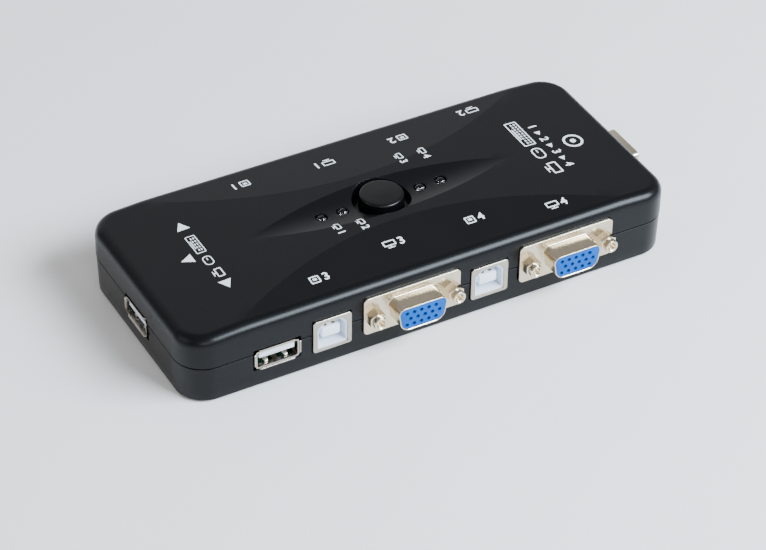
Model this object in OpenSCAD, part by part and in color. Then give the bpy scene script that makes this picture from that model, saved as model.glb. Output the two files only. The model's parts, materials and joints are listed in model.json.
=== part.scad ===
// Four-way keyboard, video and mouse switch box.
// Frame: origin on the table under the middle of the whole object, X along the length,
// the labelled front side towards -Y, Z up. Millimetres.

/* [Case] */
// Length of the case
body_l = 156; // [140:0.2:190]
// Width of the case over its long sides
body_w = 67.2; // [63:0.2:86]
// Height of the parting line above the underside of the case
parting_z = 11.5; // [10:0.1:13.5]
// Plan radius of the four upright corners
corner_r = 9.1; // [6:0.1:12]
// Radius along the top edge
edge_r = 3.4; // [2:0.1:4.4]
// Wall thickness of both covers
wall = 2; // [1.6:0.1:2.6]
// How much smaller the bottom cover is than the top cover, each side
draft_inset = 0.3; // [0.1:0.05:0.6]
// Chamfer round the underside
foot_chamfer = 0.5; // [0.3:0.1:1]

/* [Top surface] */
// Height of the arch at the middle of the case
crown_z = 23.9; // [23:0.1:29]
// Radius of the arch along the length
crown_r = 1200; // [900:10:2000]
// Half width of the level strip between the two sloped sides
ridge_y = 11.6; // [9:0.1:14]
// How far the sloped sides fall between the level strip and the edge radius
eave_drop = 1.5; // [1:0.1:2.2]
// Half length of the leaf-shaped hollow round the push button
hollow_l = 42; // [32:0.1:46]
// Half width of that hollow
hollow_w = 8.25; // [6.5:0.05:9]
// Depth of that hollow
hollow_d = 1.7; // [1:0.1:2]

/* [Port places] */
// Console port on each long side, from the middle of the case
console_x = -50.7; // [-53:0.1:-49]
// First data port on each long side
data_x = -33.8; // [-35:0.1:-32]
// First video port on each long side
video_x = -8.7; // [-10:0.1:-6]
// Distance from the first pair of data and video ports to the second
channel_pitch = 50.2; // [47.5:0.1:55]
// Place of the two end ports across the width, from the middle line
end_port_y = -0.8; // [-2:0.1:2]

/* [Video ports] */
// Width of the connector flange
flange_w = 30.8; // [30:0.1:32]
// Height of the connector flange
flange_h = 12.5; // [12:0.1:13.5]
// Corner radius of the flange
flange_r = 1.4; // [0.6:0.1:2.5]
// Thickness of the flange
flange_t = 0.9; // [0.6:0.1:1.4]
// How far the flange stands proud of the case
flange_proud = 0.8; // [0.3:0.1:1.2]
// Height of the middle of the video ports above the underside of the case
video_z = 12.3; // [11.8:0.1:13.5]
// Distance between the two jackscrews
jack_spacing = 25; // [24.9:0.1:25.1]
// How far the jackscrews reach past the case
jack_reach = 5.5; // [4.5:0.1:7]
// Size of the hexagon of a jackscrew, across its flats
jack_hex = 4.6; // [4:0.1:5]
// Diameter of the round collar of a jackscrew
jack_collar_d = 4; // [3.8:0.1:4.6]
// Diameter of the threaded hole in a jackscrew
jack_bore_d = 2.4; // [2.2:0.1:2.8]
// Width of the D-shaped shell over its wide side
shell_w = 16.3; // [15.8:0.1:16.6]
// Height of the D-shaped shell
shell_h = 7.9; // [7.5:0.1:8.4]
// Corner radius of the D-shaped shell
shell_r = 2.6; // [1.5:0.1:2.9]
// Wall of the D-shaped shell
shell_t = 0.5; // [0.4:0.05:0.6]
// How far the D-shaped shell stands out from the flange
shell_reach = 6.1; // [5.5:0.1:6.5]
// How far the rear and the output video ports are set back compared with the front ones
video_setback = 2.3; // [0:0.1:2.5]
// Depth of the connector behind its flange
video_depth = 12.6; // [10:0.1:14]
// Distance between contact holes in a row
contact_pitch = 2.29; // [2.25:0.01:2.35]
// Distance between the rows of contact holes
row_pitch = 1.98; // [1.9:0.01:2.05]
// Diameter of the contact holes
contact_hole_d = 1.1; // [0.9:0.05:1.3]

/* [Data ports] */
// Width of a data port
data_w = 12; // [11.6:0.1:12.4]
// Height of a data port
data_h = 10.8; // [10.4:0.1:11.2]
// Depth of a data port
data_depth = 16; // [14:0.1:16.5]
// How far the data ports stand proud of the case
data_proud = 0.6; // [0.2:0.1:1]
// Width of the opening of a data port
data_open_w = 8.5; // [8.3:0.1:8.8]
// Height of the opening of a data port
data_open_h = 7.8; // [7.5:0.1:8]
// Chamfer of the two upper corners of the opening
data_open_chamfer = 1.9; // [1.2:0.1:2.2]
// How much larger the opening of the metal shell is than that of the insulator, each side
data_shell_margin = 0.45; // [0.1:0.05:0.6]
// Width of the tongue in a data port
data_tongue_w = 5.6; // [5.2:0.1:5.8]
// Height of the tongue in a data port
data_tongue_h = 3.2; // [2.8:0.1:3.3]
// Sheet thickness of the data and console port shells
sheet_t = 0.4; // [0.3:0.05:0.5]

/* [Console ports] */
// Width of a console port shell
console_w = 13.2; // [13:0.1:13.6]
// Height of a console port shell
console_h = 5.8; // [5.6:0.1:6.2]
// Depth of a console port
console_depth = 14; // [12:0.1:15]
// How far the console ports stand proud of the case
console_proud = 0.4; // [0.2:0.1:0.8]
// How far the lips of a console port flare outwards
console_flare = 0.55; // [0.3:0.05:0.7]
// Height of the middle of the console ports above the underside of the case
console_z = 9.4; // [9.2:0.1:11]
// Thickness of the tongue in a console port
console_tongue_t = 1.9; // [1.7:0.1:2.1]

/* [Push button] */
// Diameter of the visible cap
cap_d = 13; // [11:0.1:13.5]
// Diameter of the hole in the top cover
button_hole_d = 17.2; // [15.6:0.1:20]
// How far the cap at rest stands above the middle of the case
cap_rise = 1.1; // [0.3:0.1:1.5]
// Travel of the button
button_travel = 0.5; // [0.25:0.05:1]
// Height of the push switch, from the board to the top of its plunger
switch_h = 9.5; // [9:0.1:10.5]
// Width of the switch body, square
switch_w = 6; // [5.8:0.1:6.5]
// Height of the switch body
switch_body_h = 3.5; // [3.2:0.1:4]
// Diameter of the switch plunger
plunger_d = 3.5; // [3:0.1:3.8]

/* [Indicator lamps] */
// Diameter of a lamp
lamp_d = 3; // [2.8:0.1:3.2]
// Diameter of the lamp holes
lamp_hole_d = 3.7; // [3.5:0.1:4]
// Distance of the inner lamps from the button
lamp_inner_x = 12.6; // [12:0.1:13.5]
// Distance between two neighbouring lamps
lamp_pitch = 6.8; // [6.2:0.1:7.5]
// How far the lamp tips lie below the middle of the case
lamp_drop = 0.6; // [0:0.1:1.1]

/* [Circuit board] */
// Thickness of the circuit board
board_t = 1.6; // [1.2:0.1:2]
// Height of the top of the board above the underside of the case
board_top = 5.4; // [5:0.1:5.6]

/* [Screws and feet] */
// Diameter of the screw bosses in the corners
boss_d = 7; // [6:0.1:8]
// Thread diameter of the cover screws
screw_d = 2.6; // [2.4:0.1:3]
// Head diameter of the cover screws
screw_head_d = 4.6; // [4.2:0.1:5]
// Diameter of the rubber feet
foot_d = 9; // [7:0.1:10]
// Thickness of the rubber feet
foot_t = 1.2; // [1:0.1:1.6]
// How far the feet stand below the case
foot_proud = 0.5; // [0.3:0.1:0.8]

/* [Fits] */
// Gap round each port in the case wall
port_gap = 0.2; // [0.15:0.05:0.4]
// Gap between the two covers at the parting line
parting_gap = 0.3; // [0.2:0.05:0.5]
// Gap between covers and circuit board
board_gap = 0.6; // [0.4:0.1:1]
// Radial clearance of the button in its guide
slide_gap = 0.25; // [0.15:0.05:0.4]
// Gap between pieces that only sit next to each other
fit_gap = 0.05; // [0.03:0.01:0.1]

/* [Hidden] */

// Directions of the four sides: each turns a connector that faces the front
front = 0;
rear = 180;
left = -90;
right = 90;

// Reach of the pieces that stand out most, and the shift that centres the whole object
reach_front = flange_proud + shell_reach;
reach_back = reach_front - video_setback;
case_x = (console_proud - reach_back) / 2;
case_y = (reach_front - reach_back) / 2;

// Derived heights, above the underside of the case
board_bottom = board_top - board_t;
data_z = board_top + data_h / 2;
eave_z = crown_z - eave_drop;
cap_z = crown_z + cap_rise;
lamp_top_z = crown_z - lamp_drop;
lamp_l = 5.3;
lamp_base_z = lamp_top_z - lamp_l;
lamp_collar_d = lamp_d + 0.8;
lamp_collar_h = 1;
hollow_back_z = crown_z - hollow_d - wall;

// Push button: its guide starts above the switch, and its shoulder ends below the hollow
button_top_gap = 0.15;
stem_l = 2.2;
guide_bottom = board_top + switch_h + stem_l;
guide_wall = 1.6;
flange_step = 1.2;
shoulder_top = max(crown_z - hollow_d - 2, guide_bottom + 2);
second_data_x = data_x + channel_pitch;
second_video_x = video_x + channel_pitch;
boss_x = body_l / 2 - corner_r - 0.2;
boss_y = body_w / 2 - corner_r - 0.2;
post_x = 32;
post_d = 5.6;
board_screw_d = 2.1;
board_screw_head_d = 4.4;
foot_x = boss_x - boss_d - 3;
foot_y = boss_y - 1.5;
lip_h = 1.4;
step_h = lip_h + 0.2;
screw_head_z = 1.4;
screw_floor = 3.4;
screw_l = 13.5;
chip_w = 7.8;
chip_gap = board_screw_head_d / 2 + 0.4;
jack_stud_d = 2.8;
console_contact_x = [-3.5, -1, 1, 3.5];
lamp_x = [-lamp_inner_x - lamp_pitch, -lamp_inner_x, lamp_inner_x, lamp_inner_x + lamp_pitch];
lead_w = 0.5;
lead_spacing = 2.54;
corners = [for (sx = [-1, 1], sy = [-1, 1]) [sx, sy]];

// ---------- shapes ----------

// Points of an arc about c, from angle a to angle b, in n steps
function arc(c, r, a, b, n) = [for (i = [0:n]) c + r * [cos(a + (b - a) * i / n), sin(a + (b - a) * i / n)]];

// Outline of a rectangle with round corners
function round_rect(w, h, r, n = 8) = [
    for (k = [0:3])
        each arc([(k == 0 || k == 3 ? 1 : -1) * (w / 2 - r), (k < 2 ? 1 : -1) * (h / 2 - r)],
                 r, 90 * k, 90 * k + 90, n)
];

// Outline of the D shape: sides lean in by ten degrees towards the narrow lower side
function d_shape(w, h, r, n = 5) =
    let (lean = 10, top = h / 2 - r, half = w / 2 - r, low = half - (h - 2 * r) * tan(lean))
    concat(
        arc([half, top], r, -lean, 90, n), arc([-half, top], r, 90, 180 + lean, n),
        arc([-low, -top], r, 180 + lean, 270, n), arc([low, -top], r, 270, 360 - lean, n)
    );

// Height of the arch at x, when the whole profile is moved inwards
function crown_at(x, inset) = crown_z - crown_r + sqrt(pow(crown_r - inset, 2) - x * x);

// A block of the outline between two heights
module prism(points, z0, z1) {
    translate([0, 0, z0]) linear_extrude(z1 - z0) polygon(points);
}

// A block whose outline lies in the XZ plane, from y0 to y1
module upright(points, y0, y1) {
    translate([0, y1, 0]) rotate([90, 0, 0]) linear_extrude(y1 - y0) polygon(points);
}

// A cylinder along Y, from y0 to y1
module rod_y(d, y0, y1) {
    translate([0, y1, 0]) rotate([90, 0, 0]) cylinder(d = d, h = y1 - y0, $fn = 48);
}

module ring(d_out, d_in, z0, z1) {
    difference() {
        translate([0, 0, z0]) cylinder(d = d_out, h = z1 - z0, $fn = 64);
        translate([0, 0, z0 - 1]) cylinder(d = d_in, h = z1 - z0 + 2, $fn = 64);
    }
}

// Moves the whole case to its place over the origin
module placed() {
    translate([case_x, case_y, foot_proud]) children();
}

// Turns a connector that faces -Y, with the case wall at y = 0, to its side of the case
module on_side(side, along) {
    if (side == front) translate([along, -body_w / 2, 0]) children();
    if (side == rear) translate([along, body_w / 2, 0]) rotate(rear) children();
    if (side == left) translate([-body_l / 2, along, 0]) rotate(left) children();
    if (side == right) translate([body_l / 2, along, 0]) rotate(right) children();
}

// ---------- covers ----------

// Arched profile along the length, with round ends, down to z0
module arch_block(inset, r, z0) {
    half = body_l / 2 - inset;
    end_z = crown_at(half - r, inset) - r;
    points = concat(
        [[half, z0]], arc([half - r, end_z], r, 0, 90, 8),
        [[half / 2, crown_z + r], [-half / 2, crown_z + r]],
        arc([-half + r, end_z], r, 90, 180, 8), [[-half, z0]]
    );
    intersection() {
        upright(points, -body_w, body_w);
        translate([0, body_w, crown_z - crown_r]) rotate([90, 0, 0])
            cylinder(r = crown_r - inset, h = 2 * body_w, $fn = 720);
    }
}

// Sloped profile across the width, with round ends, down to z0
module roof_block(inset, r, z0) {
    half = body_w / 2 - inset;
    slope = atan((crown_z - eave_z) / (body_w / 2 - edge_r - ridge_y));
    side_z = eave_z - inset - r;
    arc_y = half - r;
    points = concat(
        [[half, z0]],
        arc([arc_y, side_z], r, 0, 90 - slope, 8),
        [[ridge_y, crown_z - inset + 0.02], [-ridge_y, crown_z - inset + 0.02]],
        arc([-arc_y, side_z], r, 90 + slope, 180, 8),
        [[-half, z0]]
    );
    rotate(90) upright(points, -body_l, body_l);
}

// Rounds the top edge round one upright corner
module corner_round() {
    top = crown_at(body_l / 2 - corner_r, 0);
    intersection() {
        rotate_extrude($fn = 96) difference() {
            translate([corner_r - edge_r, top - edge_r]) square([edge_r + 3, edge_r + 4]);
            translate([corner_r - edge_r, top - edge_r]) circle(edge_r, $fn = 64);
        }
        translate([0, 0, top - 2 * edge_r]) cube([2 * corner_r, 2 * corner_r, 4 * edge_r]);
    }
}

module outer_top() {
    difference() {
        intersection() {
            prism(round_rect(body_l, body_w, corner_r, 12), parting_z + parting_gap / 2, crown_z + 1);
            arch_block(0, edge_r, 0);
            roof_block(0, edge_r, 0);
        }
        for (c = corners)
            translate([c[0] * (body_l / 2 - corner_r), c[1] * (body_w / 2 - corner_r), 0])
                mirror([c[0] < 0 ? 1 : 0, 0, 0]) mirror([0, c[1] < 0 ? 1 : 0, 0]) corner_round();
    }
}

module top_space() {
    inner_r = max(0.6, edge_r - wall);
    intersection() {
        prism(round_rect(body_l - 2 * wall, body_w - 2 * wall, corner_r - wall, 12), parting_z - 1, crown_z);
        arch_block(wall, inner_r, 0);
        roof_block(wall, inner_r, 0);
    }
}

// The leaf-shaped hollow: part of a ring that lies along the length
module hollow_cutter() {
    section_r = (hollow_w * hollow_w + hollow_d * hollow_d) / (2 * hollow_d);
    sweep_r = 1 / (2 * hollow_d / (hollow_l * hollow_l) + 1 / crown_r);
    translate([0, 0, crown_z - hollow_d + sweep_r])
        rotate([90, 0, 0])
        rotate_extrude($fn = 360)
        translate([sweep_r - section_r, 0]) circle(section_r, $fn = 96);
}

// Openings for every port, in the wall of either cover
module port_openings() {
    for (side = [front, rear]) {
        on_side(side, console_x) console_opening();
        for (x = [data_x, second_data_x]) on_side(side, x) data_opening();
        for (x = [video_x, second_video_x]) on_side(side, x) video_opening();
    }
    on_side(left, end_port_y) console_opening();
    on_side(right, end_port_y) video_opening();
}

module opening_block(w, h, z) {
    translate([-w / 2, -1, z - h / 2]) cube([w, wall + 2.5, h]);
}

module video_opening() opening_block(flange_w + 2 * port_gap, flange_h + 2 * port_gap, video_z);
module data_opening() opening_block(data_w + 2 * port_gap, data_h + 2 * port_gap, data_z);
module console_opening()
    opening_block(console_w + 2 * console_flare + 2 * port_gap,
                  console_h + 2 * console_flare + 2 * port_gap, console_z);

module top_cover() color([0.14, 0.14, 0.15]) difference() {
    union() {
        difference() {
            outer_top();
            difference() {
                top_space();
                // Backing that keeps the wall whole under the hollow
                translate([-hollow_l, -hollow_w - 2, hollow_back_z])
                    cube([2 * hollow_l, 2 * hollow_w + 4, 9]);
                // Guide of the push button
                translate([0, 0, guide_bottom])
                    cylinder(d = button_hole_d + 2 * guide_wall, h = crown_z, $fn = 64);
                // Screw bosses
                for (c = corners) translate([c[0] * boss_x, c[1] * boss_y, parting_z + 0.1])
                    cylinder(d = boss_d, h = crown_z - parting_z, $fn = 48);
            }
            // Step that the lip of the bottom cover sits in
            prism(round_rect(body_l - wall, body_w - wall, corner_r - wall / 2, 12),
                  parting_z - 1, parting_z + step_h);
        }
        for (c = corners) translate([c[0] * boss_x, c[1] * boss_y, parting_z + 0.1])
            cylinder(d = boss_d, h = 3, $fn = 48);
    }
    hollow_cutter();
    translate([0, 0, guide_bottom - 1]) cylinder(d = button_hole_d, h = crown_z, $fn = 64);
    for (x = lamp_x) {
        translate([x, 0, hollow_back_z - 1]) cylinder(d = lamp_hole_d, h = crown_z, $fn = 32);
        // Room for the collar, where the guide of the button comes close
        translate([x, 0, guide_bottom - 1])
            cylinder(d = lamp_collar_d + 2 * slide_gap,
                     h = max(1, lamp_base_z + lamp_collar_h + slide_gap - guide_bottom + 1), $fn = 32);
    }
    for (c = corners) translate([c[0] * boss_x, c[1] * boss_y, parting_z - 1])
        cylinder(d = screw_d, h = 8, $fn = 32);
    port_openings();
}

module bottom_cover() color([0.13, 0.13, 0.14]) {
    l = body_l - 2 * draft_inset;
    w = body_w - 2 * draft_inset;
    r = corner_r - draft_inset;
    rim_z = parting_z - parting_gap / 2;
    floor_z = wall;
    difference() {
        union() {
            prism(round_rect(l, w, r, 12), foot_chamfer, rim_z);
            prism(round_rect(l - 2 * foot_chamfer, w - 2 * foot_chamfer, r - foot_chamfer, 12), 0, 1);
            // Lip inside the top cover
            prism(round_rect(body_l - wall - 4 * fit_gap, body_w - wall - 4 * fit_gap,
                             corner_r - wall / 2, 12), rim_z - 1, parting_z + lip_h);
        }
        difference() {
            prism(round_rect(body_l - 2 * wall - 0.4, body_w - 2 * wall - 0.4, corner_r - wall, 12),
                  floor_z, parting_z + 3);
            for (c = corners) translate([c[0] * boss_x, c[1] * boss_y, floor_z - 1])
                cylinder(d = boss_d, h = parting_z - floor_z + 1, $fn = 48);
            for (p = board_posts()) translate([p[0], p[1], floor_z - 1])
                cylinder(d = post_d, h = board_bottom - floor_z + 1, $fn = 32);
        }
        port_openings();
        for (c = corners) translate([c[0] * boss_x, c[1] * boss_y, -1]) {
            cylinder(d = screw_head_d + 2 * parting_gap, h = 1 + screw_floor, $fn = 32);
            cylinder(d = screw_d + 2 * parting_gap, h = parting_z + 4, $fn = 32);
        }
        for (c = corners) translate([c[0] * foot_x, c[1] * foot_y, -1])
            cylinder(d = foot_d + 2 * slide_gap, h = 1 + foot_t - foot_proud, $fn = 48);
        for (x = [-post_x, post_x]) translate([x, 0, wall * 0.6])
            cylinder(d = board_screw_d + 2 * fit_gap, h = board_top, $fn = 32);
    }
}

// Supports of the circuit board, the two outer ones with a screw
function board_posts() = [
    [-post_x, 0], [post_x, 0],
    [-post_x * 2, -body_w / 6], [-post_x * 2, body_w / 6], [post_x * 1.6, -6], [post_x * 1.6, 6]
];

// ---------- circuit board and its pieces ----------

module circuit_board() color([0.06, 0.16, 0.1]) {
    l = body_l - 2 * wall - 2 * board_gap;
    w = body_w - 2 * wall - 2 * board_gap;
    difference() {
        prism(round_rect(l, w, 4, 6), board_bottom, board_top);
        for (c = corners) translate([c[0] * boss_x, c[1] * boss_y, 0])
            cylinder(d = boss_d + 2 * board_gap, h = 20, $fn = 48);
        // Corners outside the bosses
        for (c = corners) translate([c[0] * (l / 2), c[1] * (w / 2), 0])
            cube([2 * (l / 2 - boss_x), 2 * (w / 2 - boss_y), 20], center = true);
        for (x = [-post_x, post_x]) translate([x, 0, 0]) cylinder(d = board_screw_d + 0.7, h = 20, $fn = 32);
    }
}

module push_button() color([0.1, 0.1, 0.11]) {
    seat = board_top + switch_h + fit_gap;
    dome_r = 60;
    bevel = 0.7;
    hollow_top = min(guide_bottom + 1.5, shoulder_top - guide_wall);
    difference() {
        union() {
            // Cap with a bevelled edge, slightly domed
            intersection() {
                translate([0, 0, guide_bottom]) cylinder(d = cap_d, h = cap_z - guide_bottom, $fn = 64);
                translate([0, 0, cap_z - dome_r]) sphere(dome_r, $fn = 120);
                translate([0, 0, cap_z - bevel - cap_d])
                    cylinder(d1 = cap_d * 3, d2 = cap_d - bevel, h = cap_d + bevel, $fn = 64);
            }
            translate([0, 0, guide_bottom - 0.6])
                cylinder(d = button_hole_d - 2 * slide_gap, h = shoulder_top - guide_bottom + 0.6, $fn = 64);
            // Flange that stops the button from leaving its guide
            translate([0, 0, guide_bottom - button_top_gap - flange_step])
                cylinder(d = button_hole_d + 1.8, h = flange_step, $fn = 64);
            // Stem on the switch
            translate([0, 0, seat]) cylinder(d = plunger_d + 2, h = guide_bottom - seat, $fn = 32);
        }
        // Hollow underneath, round the stem
        ring(button_hole_d - 3, plunger_d + 4, guide_bottom - button_top_gap - 2, hollow_top);
    }
}

module switch_body() color([0.2, 0.2, 0.2]) {
    difference() {
        translate([-switch_w / 2, -switch_w / 2, board_top]) cube([switch_w, switch_w, switch_body_h]);
        translate([0, 0, board_top + 1])
            cylinder(d = plunger_d + 2 * fit_gap, h = switch_body_h, $fn = 32);
    }
}

module switch_plunger() color([0.55, 0.55, 0.5]) {
    base = board_top + 1 + button_travel + 0.1;
    translate([0, 0, base]) cylinder(d = plunger_d, h = board_top + switch_h - base, $fn = 32);
}

// One round lamp: domed lens with a collar
module lamp(k) color([0.85, 0.88, 0.9]) {
    translate([lamp_x[k - 1], 0, 0]) {
        translate([0, 0, lamp_base_z]) cylinder(d = lamp_d, h = lamp_l - lamp_d / 2, $fn = 32);
        translate([0, 0, lamp_top_z - lamp_d / 2]) sphere(d = lamp_d, $fn = 32);
        translate([0, 0, lamp_base_z]) cylinder(d = lamp_collar_d, h = lamp_collar_h, $fn = 32);
    }
}

module lamp_leads() color("silver") {
    for (x = lamp_x, s = [-1, 1])
        translate([x - lead_w / 2, s * lead_spacing / 2 - lead_w / 2, board_top + fit_gap])
            cube([lead_w, lead_w, lamp_base_z - board_top - 2 * fit_gap]);
}

module control_chip() color([0.16, 0.16, 0.17]) {
    translate([chip_gap - post_x, -chip_w / 2, board_top + fit_gap]) cube([chip_w, chip_w, 1.6]);
}

module video_chips() color([0.16, 0.16, 0.17]) {
    for (x = [44, 55]) translate([x - 2, -5, board_top + fit_gap]) cube([4, 10, 1.5]);
}

module crystal() color("silver") {
    translate([-41, 0, board_top + fit_gap]) prism(round_rect(4.6, 11, 2.2, 6), 0, 3.5);
}

module capacitors() color([0.2, 0.22, 0.3]) {
    for (p = [[-50, 0], [26, 8], [26, -8]]) translate([p[0], p[1], board_top + fit_gap])
        cylinder(d = 5, h = 7, $fn = 32);
}

// ---------- video port, facing -Y with the case wall at y = 0 ----------

// The flange and the D-shaped shell, one deep-drawn piece
module video_shell() color([0.78, 0.74, 0.66]) {
    difference() {
        union() {
            translate([0, 0, video_z])
                upright(round_rect(flange_w, flange_h, flange_r, 5), -flange_proud, flange_t - flange_proud);
            translate([0, 0, video_z])
                upright(d_shape(shell_w, shell_h, shell_r), -flange_proud - shell_reach, 0);
        }
        translate([0, 0, video_z])
            upright(d_shape(shell_w - 2 * shell_t, shell_h - 2 * shell_t, shell_r - shell_t),
                    -flange_proud - shell_reach - 1, 2);
        for (s = [-1, 1]) translate([s * jack_spacing / 2, 0, video_z]) rod_y(jack_stud_d + 0.3, -5, 5);
    }
}

// Places of the fifteen contacts in the XZ plane: three rows, the middle one half a step aside
contact_places = [
    for (row = [-1:1], k = [-2:2])
        [k * contact_pitch + (row == 0 ? 1 : -1) * contact_pitch / 4, row * row_pitch]
];

// The moulded block: D-shaped nose in the shell, body behind the flange
module video_insulator() color([0.17, 0.55, 0.95]) {
    nose_front = -flange_proud - shell_reach;
    body_front = flange_t - flange_proud + fit_gap;
    body_bottom = max(video_z - flange_h / 2 + 0.2, board_top + fit_gap);
    foot_front = wall + port_gap + 1;
    difference() {
        union() {
            translate([0, 0, video_z])
                upright(d_shape(shell_w - 2 * shell_t - 2 * fit_gap, shell_h - 2 * shell_t - 2 * fit_gap,
                                shell_r - shell_t - fit_gap), nose_front, body_front + 1);
            translate([-flange_w / 2 + 0.4, body_front, body_bottom])
                cube([flange_w - 0.8, video_depth, video_z + flange_h / 2 - 0.2 - body_bottom]);
            translate([-flange_w / 2 + 0.4, foot_front, board_top + fit_gap])
                cube([flange_w - 0.8, video_depth + body_front - foot_front, video_z - board_top]);
        }
        for (c = contact_places) translate([c[0], 0, video_z + c[1]])
            rod_y(contact_hole_d, nose_front - 1, nose_front + 8);
        for (s = [-1, 1]) translate([s * jack_spacing / 2, 0, video_z])
            rod_y(jack_stud_d + 0.6, body_front - 1, body_front + 5);
    }
}

module video_contacts() color([0.8, 0.65, 0.3]) {
    nose_front = -flange_proud - shell_reach;
    for (c = contact_places) translate([c[0], 0, video_z + c[1]])
        rod_y(contact_hole_d - 0.4, nose_front + 1.4, nose_front + 7.6);
}

// Two hexagonal standoffs with a round collar, a threaded hole in front and a stud behind
module video_jackscrews() color([0.78, 0.75, 0.68]) {
    face = -flange_proud - fit_gap;
    for (s = [-1, 1]) translate([s * jack_spacing / 2, 0, video_z]) difference() {
        union() {
            rotate([90, 30, 0]) translate([0, 0, -face])
                cylinder(d = jack_hex / cos(30), h = jack_reach + face - 1.5, $fn = 6);
            rod_y(jack_collar_d, -jack_reach, face - 0.5);
            rod_y(jack_stud_d, face - 0.5, flange_t + 3);
        }
        rod_y(jack_bore_d, -jack_reach - 1, face - 0.3);
    }
}

// ---------- data port, facing -Y ----------

function data_opening_shape(grow) =
    let (w = data_open_w / 2 + grow, h = data_open_h / 2 + grow, c = data_open_chamfer)
    [[-w, -h], [w, -h], [w, h - c], [w - c, h], [-w + c, h], [-w, h - c]];

module data_shell() color([0.8, 0.79, 0.76]) {
    difference() {
        translate([0, 0, data_z])
            upright(round_rect(data_w, data_h, 0.8, 4), -data_proud, data_depth - data_proud);
        translate([0, 0, data_z])
            upright(round_rect(data_w - 2 * sheet_t, data_h - 2 * sheet_t, 0.5, 4),
                    sheet_t - data_proud, data_depth);
        translate([0, 0, data_z]) upright(data_opening_shape(data_shell_margin), -2, 2);
        // Open underneath, where the block meets the board
        translate([-data_w / 2 + 1, 1, board_top - 1]) cube([data_w - 2, data_depth - 2, 1.8]);
    }
}

module data_insulator() color([0.9, 0.93, 0.97]) {
    face = sheet_t - data_proud + fit_gap;
    hole_depth = 9;
    difference() {
        translate([0, 0, data_z])
            upright(round_rect(data_w - 2 * sheet_t - 2 * fit_gap, data_h - 2 * sheet_t - 2 * fit_gap, 0.4, 4),
                    face, data_depth - data_proud - 0.6);
        difference() {
            translate([0, 0, data_z]) upright(data_opening_shape(0), -2, face + hole_depth);
            // Tongue
            translate([-data_tongue_w / 2, 0.8, data_z - data_tongue_h / 2])
                cube([data_tongue_w, data_depth, data_tongue_h]);
        }
        // Grooves for the four contacts
        for (sx = [-1, 1], sz = [-1, 1])
            translate([sx * 1.25 - 0.55, 1.6, data_z + sz * data_tongue_h / 2 - 0.45])
                cube([1.1, hole_depth - 2, 0.9]);
    }
}

module data_contacts() color([0.85, 0.7, 0.35]) {
    for (sx = [-1, 1], sz = [-1, 1])
        translate([sx * 1.25 - 0.45, 1.7, data_z + sz * (data_tongue_h / 2 - 0.2) - 0.2])
            cube([0.9, 6.6, 0.4]);
}

// ---------- console port, facing -Y ----------

module console_shell() color([0.8, 0.78, 0.72]) {
    w = console_w;
    h = console_h;
    difference() {
        union() {
            translate([0, 0, console_z])
                upright(round_rect(w, h, 0.5, 3), -console_proud + 0.3, console_depth - console_proud);
            // Flared lips, one on each side of the mouth
            for (s = [-1, 1]) {
                translate([-w / 2 + 1, 0, console_z + s * (h / 2 - sheet_t / 2)]) lip(w - 2, s, false);
                translate([s * (w / 2 - sheet_t / 2), 0, console_z - h / 2 + 0.8]) lip(h - 1.6, s, true);
            }
        }
        translate([0, 0, console_z])
            upright(round_rect(w - 2 * sheet_t, h - 2 * sheet_t, 0.25, 3), -2, console_depth - 1);
    }
}

// One flared lip: a leaning strip of sheet, across the mouth or up its side
module lip(length, s, upright_side) {
    profile = [
        [1.2, -sheet_t / 2], [1.2, sheet_t / 2],
        [-console_proud, console_flare + sheet_t / 2], [-console_proud, console_flare - sheet_t / 2]
    ];
    if (upright_side)
        mirror([s < 0 ? 1 : 0, 0, 0]) linear_extrude(length)
            polygon([for (p = profile) [p[1], p[0]]]);
    else
        mirror([0, 0, s < 0 ? 1 : 0]) rotate([90, 0, 90]) linear_extrude(length) polygon(profile);
}

module console_insulator() color([0.93, 0.93, 0.92]) {
    w = console_w - 2 * sheet_t - 2 * fit_gap;
    h = console_h - 2 * sheet_t - 2 * fit_gap;
    back = console_depth - 1 - fit_gap;
    tongue_z = console_z + h / 2 - console_tongue_t - 0.4;
    difference() {
        union() {
            translate([0, 0, console_z]) upright(round_rect(w, h, 0.3, 3), back - 3.4, back);
            translate([-w / 2 + 0.7, 0.3, tongue_z]) cube([w - 1.4, back - 1, console_tongue_t]);
        }
        for (x = console_contact_x)
            translate([x - 0.6, 1.4, tongue_z - 0.5]) cube([1.2, 8, 0.9]);
    }
}

module console_contacts() color([0.85, 0.7, 0.35]) {
    h = console_h - 2 * sheet_t - 2 * fit_gap;
    tongue_z = console_z + h / 2 - console_tongue_t - 0.4;
    for (x = console_contact_x) translate([x - 0.5, 1.5, tongue_z - 0.1]) cube([1, 7.8, 0.4]);
}

// ---------- fasteners and feet ----------

module cover_screws() color("silver") {
    for (c = corners) translate([c[0] * boss_x, c[1] * boss_y, 0]) difference() {
        union() {
            translate([0, 0, screw_head_z])
                cylinder(d = screw_head_d, h = screw_floor - screw_head_z - fit_gap, $fn = 32);
            translate([0, 0, screw_head_z]) cylinder(d = screw_d - 2 * fit_gap, h = screw_l, $fn = 32);
        }
        for (a = [0, 90]) rotate(a) translate([-1.4, -0.3, screw_head_z - 1]) cube([2.8, 0.6, 2]);
    }
}

module board_screws() color("silver") {
    for (x = [-post_x, post_x]) translate([x, 0, 0]) {
        translate([0, 0, board_top + fit_gap]) cylinder(d = board_screw_head_d, h = 1.6, $fn = 32);
        translate([0, 0, wall * 0.8]) cylinder(d = board_screw_d, h = board_top, $fn = 32);
    }
}

module rubber_feet() color([0.25, 0.25, 0.26]) {
    for (c = corners) translate([c[0] * foot_x, c[1] * foot_y, -foot_proud])
        cylinder(d = foot_d, h = foot_t - fit_gap, $fn = 48);
}

// ---------- all pieces in their places ----------

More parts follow.
